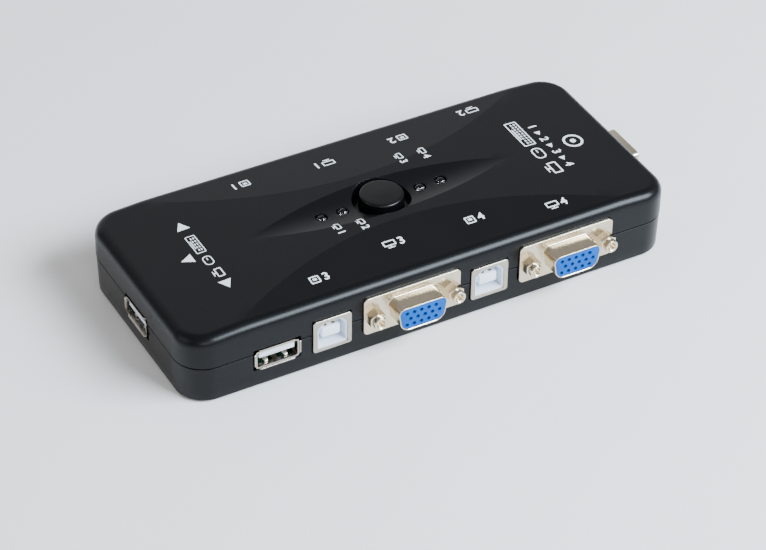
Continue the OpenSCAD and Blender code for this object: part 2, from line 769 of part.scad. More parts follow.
// Side of the case and place along it, for each numbered channel and for the single ports
module at_video(k) {
    x = k % 2 == 1 ? video_x : second_video_x;
    if (k < 3) on_side(rear, x) translate([0, video_setback, 0]) children();
    else on_side(front, x) children();
}
module at_data(k) {
    x = k % 2 == 1 ? data_x : second_data_x;
    on_side(k < 3 ? rear : front, x) children();
}
module at_output() {
    on_side(right, end_port_y) translate([0, video_setback, 0]) children();
}

placed() top_cover();
placed() bottom_cover();
placed() circuit_board();
placed() push_button();
placed() switch_body();
placed() switch_plunger();
placed() lamp_leads();
for (k = [1:4]) {
    placed() lamp(k);
    placed() at_video(k) video_shell();
    placed() at_video(k) video_insulator();
    placed() at_video(k) video_contacts();
    placed() at_video(k) video_jackscrews();
    placed() at_data(k) data_shell();
    placed() at_data(k) data_insulator();
    placed() at_data(k) data_contacts();
}
placed() at_output() video_shell();  // video_out_shell
placed() at_output() video_insulator();  // video_out_insulator
placed() at_output() video_contacts();  // video_out_contacts
placed() at_output() video_jackscrews();  // video_out_jackscrews
for (p = [["front", front, console_x], ["rear", rear, console_x], ["left", left, end_port_y]]) {
    placed() on_side(p[1], p[2]) console_shell();
    placed() on_side(p[1], p[2]) console_insulator();
    placed() on_side(p[1], p[2]) console_contacts();
}
placed() control_chip();
placed() video_chips();
placed() crystal();
placed() capacitors();
placed() cover_screws();
placed() board_screws();
placed() rubber_feet();
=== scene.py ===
"""Looks of a four-way keyboard, screen and mouse switch box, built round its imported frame.

Sizes in the classes are millimetres. Heights are counted from the underside of the case, and
lengths from the middle of the case, unless a docstring says otherwise.
"""

from __future__ import annotations

import json
import logging
import math
from collections.abc import Callable, Iterator, Sequence
from contextlib import contextmanager
from dataclasses import dataclass, field
from enum import Enum

import bmesh
import bpy
from mathutils import Matrix, Vector

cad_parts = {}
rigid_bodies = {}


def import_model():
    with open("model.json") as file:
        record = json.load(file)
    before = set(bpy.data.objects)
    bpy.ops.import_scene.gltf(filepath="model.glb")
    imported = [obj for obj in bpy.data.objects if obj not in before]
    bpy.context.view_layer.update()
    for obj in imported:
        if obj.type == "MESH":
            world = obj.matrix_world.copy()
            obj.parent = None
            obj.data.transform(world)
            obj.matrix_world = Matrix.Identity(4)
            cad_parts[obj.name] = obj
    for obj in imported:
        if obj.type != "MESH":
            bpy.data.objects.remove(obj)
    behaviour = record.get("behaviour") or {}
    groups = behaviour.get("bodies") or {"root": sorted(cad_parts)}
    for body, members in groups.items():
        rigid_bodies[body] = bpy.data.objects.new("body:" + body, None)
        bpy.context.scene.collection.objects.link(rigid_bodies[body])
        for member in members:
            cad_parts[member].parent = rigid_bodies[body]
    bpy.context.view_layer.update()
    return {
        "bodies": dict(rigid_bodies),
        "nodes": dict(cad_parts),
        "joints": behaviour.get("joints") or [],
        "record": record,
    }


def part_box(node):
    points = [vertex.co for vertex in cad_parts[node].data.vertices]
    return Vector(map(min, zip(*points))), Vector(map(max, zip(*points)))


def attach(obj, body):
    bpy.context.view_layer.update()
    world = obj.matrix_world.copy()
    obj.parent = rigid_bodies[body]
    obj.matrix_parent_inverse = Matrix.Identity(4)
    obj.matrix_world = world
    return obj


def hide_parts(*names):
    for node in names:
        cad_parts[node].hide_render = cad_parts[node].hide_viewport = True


LOG = logging.getLogger("switch_box")
MM = 0.001
Piece = bpy.types.Object
Corner = Callable[[int, int], tuple[float, float]]
Test = Callable[[object], bool]
Part = tuple[Piece, str, "Dress"]
UP, DOWN, OUTWARDS = (0, 0, 1), (0, 0, -1), (0, -1, 0)
SAME_WAY = 0.99
VIDEO_SHELLS = [f"video_{name}_shell" for name in ("1", "2", "3", "4", "out")]
DATA_SHELLS = [f"data_{number}_shell" for number in range(1, 5)]
CONSOLE_SHELLS = [f"console_{name}_shell" for name in ("front", "rear", "left")]
FLANGE_R = 1.4
CORNER_ROUNDS = {"rubber_feet": 4.5, "cover_screws": 2.3}


class Axis(Enum):
    """Direction along which a bar is drawn out."""

    Y = 1
    Z = 2


class Side(Enum):
    """Side of the case, with the turn that brings a connector there from the front."""

    FRONT = 0.0
    REAR = 180.0
    LEFT = -90.0
    RIGHT = 90.0

    def turned(self) -> Matrix:
        """Matrix that turns a connector from the front to this side."""
        return Matrix.Rotation(math.radians(self.value), 4, "Z")


class Body(Enum):
    """Bodies of the frame that new pieces move with."""

    CASE = "case"
    BUTTON = "button"


# ---------------------------------------------------------------- modelling tools


def clear_selection() -> None:
    """Leave edit mode and deselect every object."""
    if bpy.context.object and bpy.context.object.mode != "OBJECT":
        bpy.ops.object.mode_set(mode="OBJECT")
    bpy.ops.object.select_all(action="DESELECT")


def select_only(piece: Piece) -> None:
    """Make one object the only selected one, and the active one.

    Args:
        piece: The object to select.
    """
    clear_selection()
    piece.select_set(True)
    bpy.context.view_layer.objects.active = piece


@contextmanager
def editing(piece: Piece) -> Iterator[None]:
    """Hold a piece in edit mode with nothing selected.

    Args:
        piece: The object to edit.
    """
    select_only(piece)
    bpy.ops.object.mode_set(mode="EDIT")
    bpy.ops.mesh.select_all(action="DESELECT")
    yield
    bpy.ops.object.mode_set(mode="OBJECT")


def pick(piece: Piece, kind: str, test: Test) -> int:
    """Select the elements of a piece in edit mode that pass a test, and no others.

    Args:
        piece: The object in edit mode.
        kind: EDGE or FACE.
        test: Says of one element whether it is wanted.

    Returns:
        The number of elements selected.
    """
    bpy.ops.mesh.select_mode(type=kind)
    bpy.ops.mesh.select_all(action="DESELECT")
    mesh = bmesh.from_edit_mesh(piece.data)
    wanted = [element for element in (mesh.edges if kind == "EDGE" else mesh.faces) if test(element)]
    for element in wanted:
        element.select_set(True)
    bmesh.update_edit_mesh(piece.data)
    return len(wanted)


@contextmanager
def capped(piece: Piece, direction: tuple[float, float, float] = OUTWARDS) -> Iterator[None]:
    """Hold a piece in edit mode with its faces that point one way selected.

    Args:
        piece: The object to edit.
        direction: Normal of the faces.
    """
    wanted = Vector(direction)
    with editing(piece):
        pick(piece, "FACE", lambda face: face.normal.dot(wanted) > SAME_WAY)
        yield


def step(thickness: float, depth: float) -> None:
    """Inset the selected face and raise it, as one ring of a rounded edge.

    Args:
        thickness: Inset, in millimetres.
        depth: Rise along the normal, in millimetres; below zero it sinks.
    """
    bpy.ops.mesh.inset(thickness=thickness * MM, depth=depth * MM, use_even_offset=True)


def push(y: float = 0.0, z: float = 0.0) -> None:
    """Extrude the selection and move what is new, in millimetres."""
    bpy.ops.mesh.extrude_region_move(TRANSFORM_OT_translate={"value": (0.0, y * MM, z * MM)})


def quarter(rings: int) -> list[tuple[float, float]]:
    """Split a quarter turn into equal parts, each with its start and end in radians."""
    turn = math.pi / 2 / rings
    return [(ring * turn, (ring + 1) * turn) for ring in range(rings)]


def round_over(radius: float, rings: int = 3) -> None:
    """Round the rim of the selected cap by a run of inset rings.

    Args:
        radius: Radius of the rounding, in millimetres.
        rings: Number of rings.
    """
    for start, end in quarter(rings):
        step(radius * (math.cos(start) - math.cos(end)), radius * (math.sin(end) - math.sin(start)))


def runs_along(edge: bmesh.types.BMEdge, axis: Axis) -> bool:
    """Say whether an edge is parallel to an axis."""
    first, second = (vertex.co for vertex in edge.verts)
    return abs((first - second).normalized()[axis.value]) > SAME_WAY


def rectangle(width: float, height: float, middle: tuple[float, float] = (0.0, 0.0)) -> Corner:
    """Corners of an upright rectangle.

    Args:
        width: Size along the first axis.
        height: Size along the second axis.
        middle: Centre of the rectangle.

    Returns:
        A function from the signs of a corner to its place.
    """
    return lambda su, sv: (middle[0] + su * width / 2, middle[1] + sv * height / 2)


def bar(name: str, corner: Corner, start: float, end: float, axis: Axis = Axis.Y,
        radius: float = 0.0, segments: int = 6) -> Piece:
    """Shape a cube into a closed bar with four given corners and rounded long edges.

    Args:
        name: Name of the new object.
        corner: Place of each corner in the plane across the axis.
        start: Lower end along the axis.
        end: Upper end along the axis.
        axis: Direction of the bar.
        radius: Radius of the long edges.
        segments: Segments of each rounded edge.

    Returns:
        The new object.
    """
    clear_selection()
    bpy.ops.mesh.primitive_cube_add(size=2.0)
    piece = bpy.context.object
    piece.name = piece.data.name = name
    for vertex in piece.data.vertices:
        signs = [1 if value > 0 else -1 for value in vertex.co]
        along = end if signs[axis.value] > 0 else start
        if axis is Axis.Y:
            u, v = corner(signs[0], signs[2])
            vertex.co = Vector((u, along, v)) * MM
        else:
            u, v = corner(signs[0], signs[1])
            vertex.co = Vector((u, v, along)) * MM
    if radius > 0:
        with editing(piece):
            pick(piece, "EDGE", lambda edge: runs_along(edge, axis))
            bpy.ops.mesh.bevel(offset=radius * MM, segments=segments, affect="EDGES")
    return piece


def disc(name: str, radius: float, start: float, end: float, axis: Axis = Axis.Z,
         middle: tuple[float, float] = (0.0, 0.0), sides: int = 48) -> Piece:
    """Add a cylinder along Y or Z.

    Args:
        name: Name of the new object.
        radius: Its radius.
        start: Lower end along the axis.
        end: Upper end along the axis.
        axis: Direction of the cylinder.
        middle: Centre in the plane across the axis.
        sides: Number of sides.

    Returns:
        The new object.
    """
    along = (start + end) / 2
    place = (middle[0], along, middle[1]) if axis is Axis.Y else (middle[0], middle[1], along)
    turn = (math.pi / 2, 0, 0) if axis is Axis.Y else (0, 0, 0)
    clear_selection()
    bpy.ops.mesh.primitive_cylinder_add(vertices=sides, radius=radius * MM, depth=(end - start) * MM,
                                        location=Vector(place) * MM, rotation=turn)
    piece = bpy.context.object
    piece.name = piece.data.name = name
    settle(piece)
    return piece


def settle(piece: Piece) -> None:
    """Apply a piece's place, turn and scale to its mesh."""
    select_only(piece)
    bpy.ops.object.transform_apply(location=True, rotation=True, scale=True)


def join(pieces: Sequence[Piece], name: str) -> Piece:
    """Join several pieces into one object.

    Args:
        pieces: The objects to join.
        name: Name of the result.

    Returns:
        The joined object.
    """
    clear_selection()
    for piece in pieces:
        piece.select_set(True)
    bpy.context.view_layer.objects.active = pieces[0]
    if len(pieces) > 1:
        bpy.ops.object.join()
    whole = bpy.context.view_layer.objects.active
    whole.name = whole.data.name = name
    return whole


def combine(piece: Piece, others: Sequence[Piece], operation: str = "DIFFERENCE") -> None:
    """Cut other pieces out of a piece, or add them to it, and remove them.

    Args:
        piece: The object that stays.
        others: Objects that are used up; they must not overlap each other.
        operation: DIFFERENCE, UNION or INTERSECT.
    """
    tool = join(others, "tool")
    modifier = piece.modifiers.new("combine", "BOOLEAN")
    modifier.operation = operation
    modifier.solver = "EXACT"
    modifier.object = tool
    select_only(piece)
    bpy.ops.object.modifier_apply(modifier=modifier.name)
    bpy.data.objects.remove(tool)


def soften(piece: Piece, width: float, segments: int = 2, angle: float = 40.0) -> None:
    """Bevel every edge that is sharper than an angle.

    Args:
        piece: The object to soften.
        width: Width of the bevel.
        segments: Segments of the bevel.
        angle: Smallest angle between faces that counts, in degrees.
    """
    modifier = piece.modifiers.new("soften", "BEVEL")
    modifier.width = width * MM
    modifier.segments = segments
    modifier.limit_method = "ANGLE"
    modifier.angle_limit = math.radians(angle)
    modifier.use_clamp_overlap = True
    select_only(piece)
    bpy.ops.object.modifier_apply(modifier=modifier.name)


def shade(piece: Piece, angle: float = 35.0) -> None:
    """Shade a piece smooth, with edges sharper than an angle left crisp.

    Args:
        piece: The object to shade.
        angle: Smallest angle that stays crisp, in degrees.
    """
    select_only(piece)
    bpy.ops.object.shade_smooth_by_angle(angle=math.radians(angle), keep_sharp_edges=True)


def copy_to(template: Piece, name: str, place: Matrix) -> Piece:
    """Copy a finished template, with its own mesh, to a place.

    Args:
        template: The object to copy.
        name: Name of the copy.
        place: Turn and shift of the copy.

    Returns:
        The copy, with its place in its mesh.
    """
    select_only(template)
    bpy.ops.object.duplicate()
    copy = bpy.context.object
    copy.name = copy.data.name = name
    copy.matrix_world = place @ copy.matrix_world
    settle(copy)
    return copy


# ---------------------------------------------------------------- finishes


@dataclass(frozen=True)
class Finish:
    """A moulded or plated surface, made from noise on object coordinates.

    Grain and stain sizes are in millimetres, and stretch draws the grain out along each axis.
    """

    name: str
    colour: tuple[float, float, float]
    stain: tuple[float, float, float]
    rough: tuple[float, float]
    metallic: float = 0.0
    grain_size: float = 0.3
    grain_depth: float = 0.01
    stain_size: float = 8.0
    stretch: tuple[float, float, float] = (1.0, 1.0, 1.0)
    level: float = 0.5
    coat: float = 0.0
    clear: float = 0.0

    @property
    def title(self) -> str:
        """Name of the material, unlike the names of the frame's own materials."""
        return f"{self.name}_finish"

    def material(self) -> bpy.types.Material:
        """Return this finish's material, made the first time it is asked for."""
        found = bpy.data.materials.get(self.title)
        return found or self.build()

    def build(self) -> bpy.types.Material:
        """Make the material's nodes.

        Returns:
            The new material.
        """
        material = bpy.data.materials.new(self.title)
        material.use_nodes = True
        tree = material.node_tree
        shader = tree.nodes["Principled BSDF"]
        shader.inputs["Metallic"].default_value = self.metallic
        shader.inputs["Specular IOR Level"].default_value = self.level
        shader.inputs["Coat Weight"].default_value = self.coat
        shader.inputs["Coat Roughness"].default_value = 0.15
        shader.inputs["Transmission Weight"].default_value = self.clear
        place = tree.nodes.new("ShaderNodeTexCoord")
        mapping = tree.nodes.new("ShaderNodeMapping")
        mapping.inputs["Scale"].default_value = [1.0 / value for value in self.stretch]
        tree.links.new(place.outputs["Object"], mapping.inputs["Vector"])
        stain = self.noise(tree, mapping, self.stain_size, 3.0)
        grain = self.noise(tree, mapping, self.grain_size, 2.0)
        self.ramp(tree, stain, [(0.3, (*self.colour, 1.0)), (0.75, (*self.stain, 1.0))],
                  shader.inputs["Base Color"])
        rough = tree.nodes.new("ShaderNodeMapRange")
        rough.inputs["To Min"].default_value, rough.inputs["To Max"].default_value = self.rough
        rough.inputs["From Min"].default_value = 0.3
        rough.inputs["From Max"].default_value = 0.7
        tree.links.new(grain.outputs["Fac"], rough.inputs["Value"])
        tree.links.new(rough.outputs["Result"], shader.inputs["Roughness"])
        bump = tree.nodes.new("ShaderNodeBump")
        bump.inputs["Strength"].default_value = 1.0
        bump.inputs["Distance"].default_value = self.grain_depth * MM
        tree.links.new(grain.outputs["Fac"], bump.inputs["Height"])
        tree.links.new(bump.outputs["Normal"], shader.inputs["Normal"])
        return material

    @staticmethod
    def noise(tree: bpy.types.NodeTree, mapping: bpy.types.Node, size: float,
              detail: float) -> bpy.types.Node:
        """Add a noise texture whose lumps have a size in millimetres.

        Args:
            tree: The material's nodes.
            mapping: Node that gives the coordinates.
            size: Size of the lumps.
            detail: Octaves of finer noise.

        Returns:
            The noise node.
        """
        noise = tree.nodes.new("ShaderNodeTexNoise")
        noise.inputs["Scale"].default_value = 1.0 / (size * MM)
        noise.inputs["Detail"].default_value = detail
        tree.links.new(mapping.outputs["Vector"], noise.inputs["Vector"])
        return noise

    @staticmethod
    def ramp(tree: bpy.types.NodeTree, source: bpy.types.Node,
             stops: Sequence[tuple[float, tuple[float, float, float, float]]],
             target: bpy.types.NodeSocket) -> None:
        """Colour a socket from a noise through a ramp of two stops.

        Args:
            tree: The material's nodes.
            source: The noise node.
            stops: Places and colours of the two stops.
            target: Socket that takes the colour.
        """
        ramp = tree.nodes.new("ShaderNodeValToRGB")
        for element, (place, colour) in zip(ramp.color_ramp.elements, stops):
            element.position = place
            element.color = colour
        tree.links.new(source.outputs["Fac"], ramp.inputs["Fac"])
        tree.links.new(ramp.outputs["Color"], target)


CASE_BLACK = Finish("case_black", (0.0022, 0.0023, 0.0030), (0.0028, 0.0029, 0.0037), (0.27, 0.34),
                    grain_size=0.22, grain_depth=0.005, stain_size=14.0, level=0.2)
BUTTON_BLACK = Finish("button_black", (0.0018, 0.0018, 0.0022), (0.0022, 0.0022, 0.0027), (0.26, 0.30),
                      grain_size=0.8, grain_depth=0.0002, stain_size=6.0, level=0.25)
WARM_NICKEL = Finish("warm_nickel", (0.74, 0.64, 0.48), (0.66, 0.56, 0.41), (0.22, 0.25),
                     metallic=1.0, grain_size=0.8, grain_depth=0.0006, stain_size=3.0,
                     stretch=(1.0, 1.0, 4.0))
PALE_NICKEL = Finish("pale_nickel", (0.50, 0.46, 0.40), (0.43, 0.39, 0.33), (0.20, 0.23),
                     metallic=1.0, grain_size=0.5, grain_depth=0.003, stain_size=3.0)
AZURE = Finish("azure_plastic", (0.0002, 0.085, 0.38), (0.0002, 0.074, 0.34), (0.36, 0.46),
               grain_size=0.5, grain_depth=0.004, stain_size=4.0, level=0.12)
WHITE = Finish("white_plastic", (0.82, 0.88, 0.99), (0.76, 0.83, 0.96), (0.34, 0.44),
               grain_size=0.5, grain_depth=0.004, stain_size=4.0)
INK = Finish("white_ink", (0.92, 0.93, 0.94), (0.82, 0.83, 0.85), (0.50, 0.62),
             grain_size=0.15, grain_depth=0.004, stain_size=0.6)
LENS = Finish("clear_lens", (0.55, 0.57, 0.60), (0.48, 0.50, 0.54), (0.03, 0.06),
              grain_size=1.5, grain_depth=0.002, stain_size=2.0, clear=1.0)
GOLD = Finish("gold_flash", (0.80, 0.58, 0.22), (0.70, 0.48, 0.16), (0.25, 0.38),
              metallic=1.0, grain_size=0.4, grain_depth=0.002, stain_size=1.5)
STEEL = Finish("bright_steel", (0.62, 0.62, 0.61), (0.50, 0.50, 0.50), (0.22, 0.36),
               metallic=1.0, grain_size=0.4, grain_depth=0.004, stain_size=2.0)
RUBBER = Finish("foot_rubber", (0.030, 0.030, 0.031), (0.042, 0.041, 0.040), (0.70, 0.85),
                grain_size=0.3, grain_depth=0.02, stain_size=2.5)
BOARD_GREEN = Finish("board_green", (0.003, 0.020, 0.008), (0.005, 0.030, 0.012), (0.30, 0.42),
                     grain_size=0.6, grain_depth=0.01, stain_size=3.0, coat=0.3)
CHIP_BLACK = Finish("chip_black", (0.020, 0.020, 0.021), (0.030, 0.030, 0.031), (0.55, 0.68),
                    grain_size=0.2, grain_depth=0.01, stain_size=2.0)
SLEEVE = Finish("sleeve_film", (0.02, 0.025, 0.07), (0.03, 0.035, 0.09), (0.22, 0.32),
                grain_size=0.8, grain_depth=0.006, stain_size=2.0)
SWITCH_GREY = Finish("switch_grey", (0.05, 0.05, 0.052), (0.07, 0.07, 0.072), (0.45, 0.58),
                     grain_size=0.3, grain_depth=0.01, stain_size=2.0)


@dataclass(frozen=True)
class Dress:
    """A finish with the record's slot that it stands for."""

    finish: Finish
    slot: str


CASE = Dress(CASE_BLACK, "case_plastic")
PRINT = Dress(INK, "case_plastic")
BUTTON = Dress(BUTTON_BLACK, "button_plastic")
VIDEO_METAL = Dress(WARM_NICKEL, "warm_nickel")
PORT_METAL = Dress(PALE_NICKEL, "pale_nickel")
BLUE = Dress(AZURE, "blue_plastic")
PORT_WHITE = Dress(WHITE, "white_plastic")
LAMP = Dress(LENS, "clear_lens")
PLATED = Dress(STEEL, "bright_steel")
FOOT = Dress(RUBBER, "foot_rubber")


def hand_over(piece: Piece, dress: Dress, body: Body, *stands_for: str) -> Piece:
    """Give a finished piece its material and its body.

    Args:
        piece: The finished object.
        dress: Its finish and slot.
        body: The body that it moves with.
        stands_for: Frame nodes that it replaces.

    Returns:
        The same object.
    """
    piece.data.materials.clear()
    piece.data.materials.append(dress.finish.material())
    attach(piece, body.value)
    if stands_for:
        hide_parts(*stands_for)
    LOG.info("%s: %d faces on %s", piece.name, len(piece.data.polygons), body.value)
    return piece


def carry_over(frame: dict, names: Sequence[str], finish: Finish) -> None:
    """Dress frame nodes that are shown as they are.

    Args:
        names: The nodes.
        finish: Their finish.
    """
    for name in names:
        node = frame["nodes"][name]
        if not node.material_slots:
            node.data.materials.append(None)
        for material_slot in node.material_slots:
            material_slot.material = finish.material()
        LOG.info("%s: kept from the frame, dressed in %s", name, finish.name)


# ---------------------------------------------------------------- case


@dataclass(frozen=True)
class CaseForm:
    """Outer form of the case: an arch along the length, two sloped sides and a leaf-shaped hollow."""

    half_l: float
    half_w: float
    middle_x: float
    middle_y: float
    underside: float
    corner_r: float = 9.1
    edge_r: float = 3.4
    crown_z: float = 23.9
    crown_r: float = 1200.0
    ridge_y: float = 11.6
    eave_z: float = 22.4
    hollow_l: float = 42.0
    hollow_w: float = 8.25
    hollow_d: float = 1.7
    parting_z: float = 11.5
    parting_gap: float = 0.3
    wall: float = 2.0
    draft: float = 0.3

    @classmethod
    def measured(cls) -> CaseForm:
        """Read the length, width and place of the case from the frame."""
        low, high = (Vector(corner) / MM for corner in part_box("top_cover"))
        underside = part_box("bottom_cover")[0][2] / MM
        middle = (low + high) / 2
        return cls((high.x - low.x) / 2, (high.y - low.y) / 2, middle.x, middle.y, underside)

    @property
    def slope(self) -> float:
        """Fall of the sloped sides, per millimetre."""
        return (self.crown_z - self.eave_z) / (self.half_w - self.edge_r - self.ridge_y)

    @property
    def section_r(self) -> float:
        """Radius of the hollow's cross-section."""
        return (self.hollow_w**2 + self.hollow_d**2) / (2 * self.hollow_d)

    def leaf(self, x: float) -> float:
        """Half width of the hollow at x, or zero past its tips."""
        return max(0.0, self.hollow_w * (1 - (x / self.hollow_l) ** 2))

    def crease(self, x: float) -> float:
        """Distance from the middle line at which the arch meets the sloped side."""
        return self.ridge_y + x * x / (2 * self.crown_r * self.slope)

    def height(self, x: float, y: float) -> float:
        """Height of the top surface, without the rounded edge.

        Args:
            x: Distance from the middle of the case along its length.
            y: Distance from the middle line.

        Returns:
            The height above the underside.
        """
        arch = self.crown_z - x * x / (2 * self.crown_r)
        roof = self.crown_z - self.slope * (abs(y) - self.ridge_y)
        leaf = self.leaf(x)
        if abs(y) < leaf:
            arch -= math.sqrt(self.section_r**2 - y * y) - math.sqrt(self.section_r**2 - leaf * leaf)
        return min(arch, roof)

    def place(self, x: float, y: float, z: float) -> Vector:
        """Turn millimetres on the case into metres in the frame."""
        return Vector((x + self.middle_x, y + self.middle_y, z + self.underside)) * MM

    def on_case(self, point: Vector) -> Vector:
        """Turn metres in the frame into millimetres on the case."""
        return Vector(point) / MM - Vector((self.middle_x, self.middle_y, self.underside))

    def box(self, node: str) -> tuple[Vector, Vector]:
        """Lowest and highest corner of a frame node, in millimetres on the case."""
        low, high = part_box(node)
        return self.on_case(low), self.on_case(high)

    def corner_rounds(self, node: str) -> list[tuple[float, float]]:
        """Centres of a node's four upright round solids, one in each corner of the case."""
        high, radius = self.box(node)[1], CORNER_ROUNDS[node]
        return [(sx * (high.x - radius), sy * (high.y - radius)) for sx in (-1, 1) for sy in (-1, 1)]

    def bring(self, piece: Piece) -> Piece:
        """Bring a piece modelled on the case's own axes into the frame."""
        piece.matrix_world = Matrix.Translation(self.place(0, 0, 0))
        settle(piece)
        return piece


@dataclass
class PortWall:
    """Openings in the case wall, one for each port."""

    form: CaseForm
    gap: float = 0.2
    depth: float = 4.0
    outside: float = 2.0
    corner_r: float = 0.5
    end_zone: float = 12.0

    def opening(self, shell: str) -> Piece:
        """Make the tool that cuts one port's opening.

        Args:
            shell: Frame node of the port's shell.

        Returns:
            A bar through the case wall.
        """
        form = self.form
        low, high = form.box(shell)
        middle, size = (low + high) / 2, high - low
        if abs(middle.x) > form.half_l - self.end_zone:
            half, width, along = form.half_l, size.y, Vector((0, middle.y, 0))
            side = Side.RIGHT if middle.x > 0 else Side.LEFT
        else:
            half, width, along = form.half_w, size.x, Vector((middle.x, 0, 0))
            side = Side.REAR if middle.y > 0 else Side.FRONT
        outline = rectangle(width + 2 * self.gap, size.z + 2 * self.gap, (0.0, middle.z))
        radius = FLANGE_R + self.gap if shell in VIDEO_SHELLS else self.corner_r
        tool = bar("opening", outline, -half - self.outside, -half + self.depth, radius=radius)
        tool.matrix_world = Matrix.Translation(along * MM) @ side.turned()
        settle(tool)
        return form.bring(tool)

    def openings(self) -> list[Piece]:
        """Make the tools for every port."""
        return [self.opening(shell) for shell in VIDEO_SHELLS + DATA_SHELLS + CONSOLE_SHELLS]


@dataclass
class TopCover:
    """Upper shell: a grid whose rows follow the hollow and the creases, with a rolled edge."""

    form: CaseForm
    hole_r: float = 8.6
    lamp_hole_r: float = 1.85
    column: float = 2.0
    leaf_rows: int = 9
    flank_rows: int = 7
    side_rows: int = 9
    arc_steps: int = 12
    lip_depth: float = 1.7
    inner_z: float = 19.4
    low_bevel: float = 0.2
    hole_span: tuple[float, float] = (10.0, 30.0)
    hole_round: float = 0.3
    lamp_hole_round: float = 0.12
    crease_end: float = 58.0
    tip: float = 3.0
    near: float = 0.03

    def columns(self) -> list[float]:
        """Places of the grid's columns: even along the straight sides, then round the corners."""
        form = self.form
        straight = form.half_l - form.corner_r
        count = round(straight / self.column)
        even = [straight * number / count for number in range(count + 1)]
        inner_r = form.corner_r - form.edge_r
        half = even + [straight + inner_r * math.sin(turn) for _, turn in quarter(self.arc_steps)]
        return [-value for value in reversed(half[1:])] + half

    def reach(self, x: float) -> float:
        """Half width of the grid at x."""
        form = self.form
        inner_r = form.corner_r - form.edge_r
        past = max(0.0, abs(x) - (form.half_l - form.corner_r))
        return form.half_w - form.corner_r + math.sqrt(max(0.0, inner_r**2 - past**2))

    def row(self, x: float, number: int) -> float:
        """Distance of a row from the middle line.

        Args:
            x: Place of the column.
            number: Row, counted from the middle line.

        Returns:
            The distance.
        """
        form, edge = self.form, self.reach(x)
        leaf = max(form.leaf(x), 0.3 + 0.12 * max(0.0, abs(x) - form.hollow_l))
        crease = min(form.crease(x), edge - 0.5)
        if number <= self.leaf_rows:
            return leaf * number / self.leaf_rows
        if number <= self.leaf_rows + self.flank_rows:
            return leaf + (crease - leaf) * (number - self.leaf_rows) / self.flank_rows
        return crease + (edge - crease) * (number - self.leaf_rows - self.flank_rows) / self.side_rows

    def sheet(self) -> Piece:
        """Make the top surface as a grid."""
        columns = self.columns()
        rows = self.leaf_rows + self.flank_rows + self.side_rows
        clear_selection()
        bpy.ops.mesh.primitive_grid_add(x_subdivisions=len(columns) - 1, y_subdivisions=2 * rows,
                                        size=2.0)
        sheet = bpy.context.object
        sheet.name = sheet.data.name = "top_cover_shell"
        for vertex in sheet.data.vertices:
            x = columns[round((vertex.co.x + 1) / 2 * (len(columns) - 1))]
            number = round((vertex.co.y + 1) * rows) - rows
            y = math.copysign(self.row(x, abs(number)), number)
            vertex.co = self.form.place(x, y, self.form.height(x, y))
        return sheet

    def move_ring(self, piece: Piece, outset: float, drop: float | None, level: float = 0.0) -> None:
        """Move the selected ring of vertices to an offset of the grid's edge.

        Args:
            piece: The object in edit mode.
            outset: Distance outwards from the grid's edge.
            drop: How far below the top surface the ring lies, or None for a level ring.
            level: Height of a level ring.
        """
        form = self.form
        inner_r = form.corner_r - form.edge_r
        core = Vector((form.half_l - form.corner_r, form.half_w - form.corner_r))
        for vertex in bmesh.from_edit_mesh(piece.data).verts:
            if not vertex.select:
                continue
            point = form.on_case(vertex.co).xy
            anchor = Vector((max(-core.x, min(core.x, point.x)), max(-core.y, min(core.y, point.y))))
            outward = (point - anchor).normalized()
            edge = anchor + outward * inner_r
            x, y = anchor + outward * (inner_r + outset)
            z = level if drop is None else form.height(edge.x, edge.y) - drop
            vertex.co = form.place(x, y, z)
        bmesh.update_edit_mesh(piece.data)

    def skirt(self, sheet: Piece) -> None:
        """Roll the grid's edge over, and run it down to the parting line and back up inside.

        Args:
            sheet: The grid; it ends as a closed shell.
        """
        form = self.form
        low = form.parting_z + form.parting_gap / 2
        lip_top = low + self.lip_depth
        rings = [(form.edge_r * math.sin(turn), form.edge_r * (1 - math.cos(turn)), 0.0)
                 for _, turn in quarter(self.arc_steps)]
        rings += [(form.edge_r - inwards, None, level) for inwards, level in (
            (0.0, low + self.low_bevel), (self.low_bevel, low), (form.wall / 2, low),
            (form.wall / 2, lip_top), (form.wall, lip_top), (form.wall, self.inner_z))]
        with editing(sheet):
            pick(sheet, "EDGE", lambda edge: edge.is_boundary)
            for outset, drop, level in rings:
                push()
                self.move_ring(sheet, outset, drop, level)
            bpy.ops.mesh.edge_face_add()
            bpy.ops.mesh.select_all(action="SELECT")
            bpy.ops.mesh.normals_make_consistent(inside=False)

    def crisp(self, piece: Piece) -> None:
        """Mark the outline of the hollow and the two creases as crisp edges.

        Args:
            piece: The finished cover.
        """
        form = self.form
        mesh = bmesh.new()
        mesh.from_mesh(piece.data)

        lines = ((form.leaf, form.hollow_l - self.tip), (form.crease, self.crease_end))
        for edge in mesh.edges:
            spots = [form.on_case(vertex.co) for vertex in edge.verts]
            if min(spot.z for spot in spots) > self.inner_z and any(
                    all(abs(spot.x) < end and abs(abs(spot.y) - line(spot.x)) < self.near
                        for spot in spots) for line, end in lines):
                edge.smooth = False
        mesh.to_mesh(piece.data)
        mesh.free()

    def rim_bevel(self, piece: Piece, middle_x: float, radius: float, width: float) -> None:
        """Round the upper rim of a round hole.

        Args:
            piece: The cover.
            middle_x: Place of the hole along the length.
            radius: Radius of the hole.
            width: Width of the rounding.
        """
        form = self.form

        def on_rim(edge: bmesh.types.BMEdge) -> bool:
            """Say whether an edge lies on the hole's rim in the top surface."""
            spots = [form.on_case(vertex.co) for vertex in edge.verts]
            return all(abs(math.hypot(spot.x - middle_x, spot.y) - radius) < 0.02
                       and abs(spot.z - form.height(spot.x, spot.y)) < 0.08 for spot in spots)

        with editing(piece):
            if pick(piece, "EDGE", on_rim):
                bpy.ops.mesh.bevel(offset=width * MM, segments=3, affect="EDGES", clamp_overlap=True)

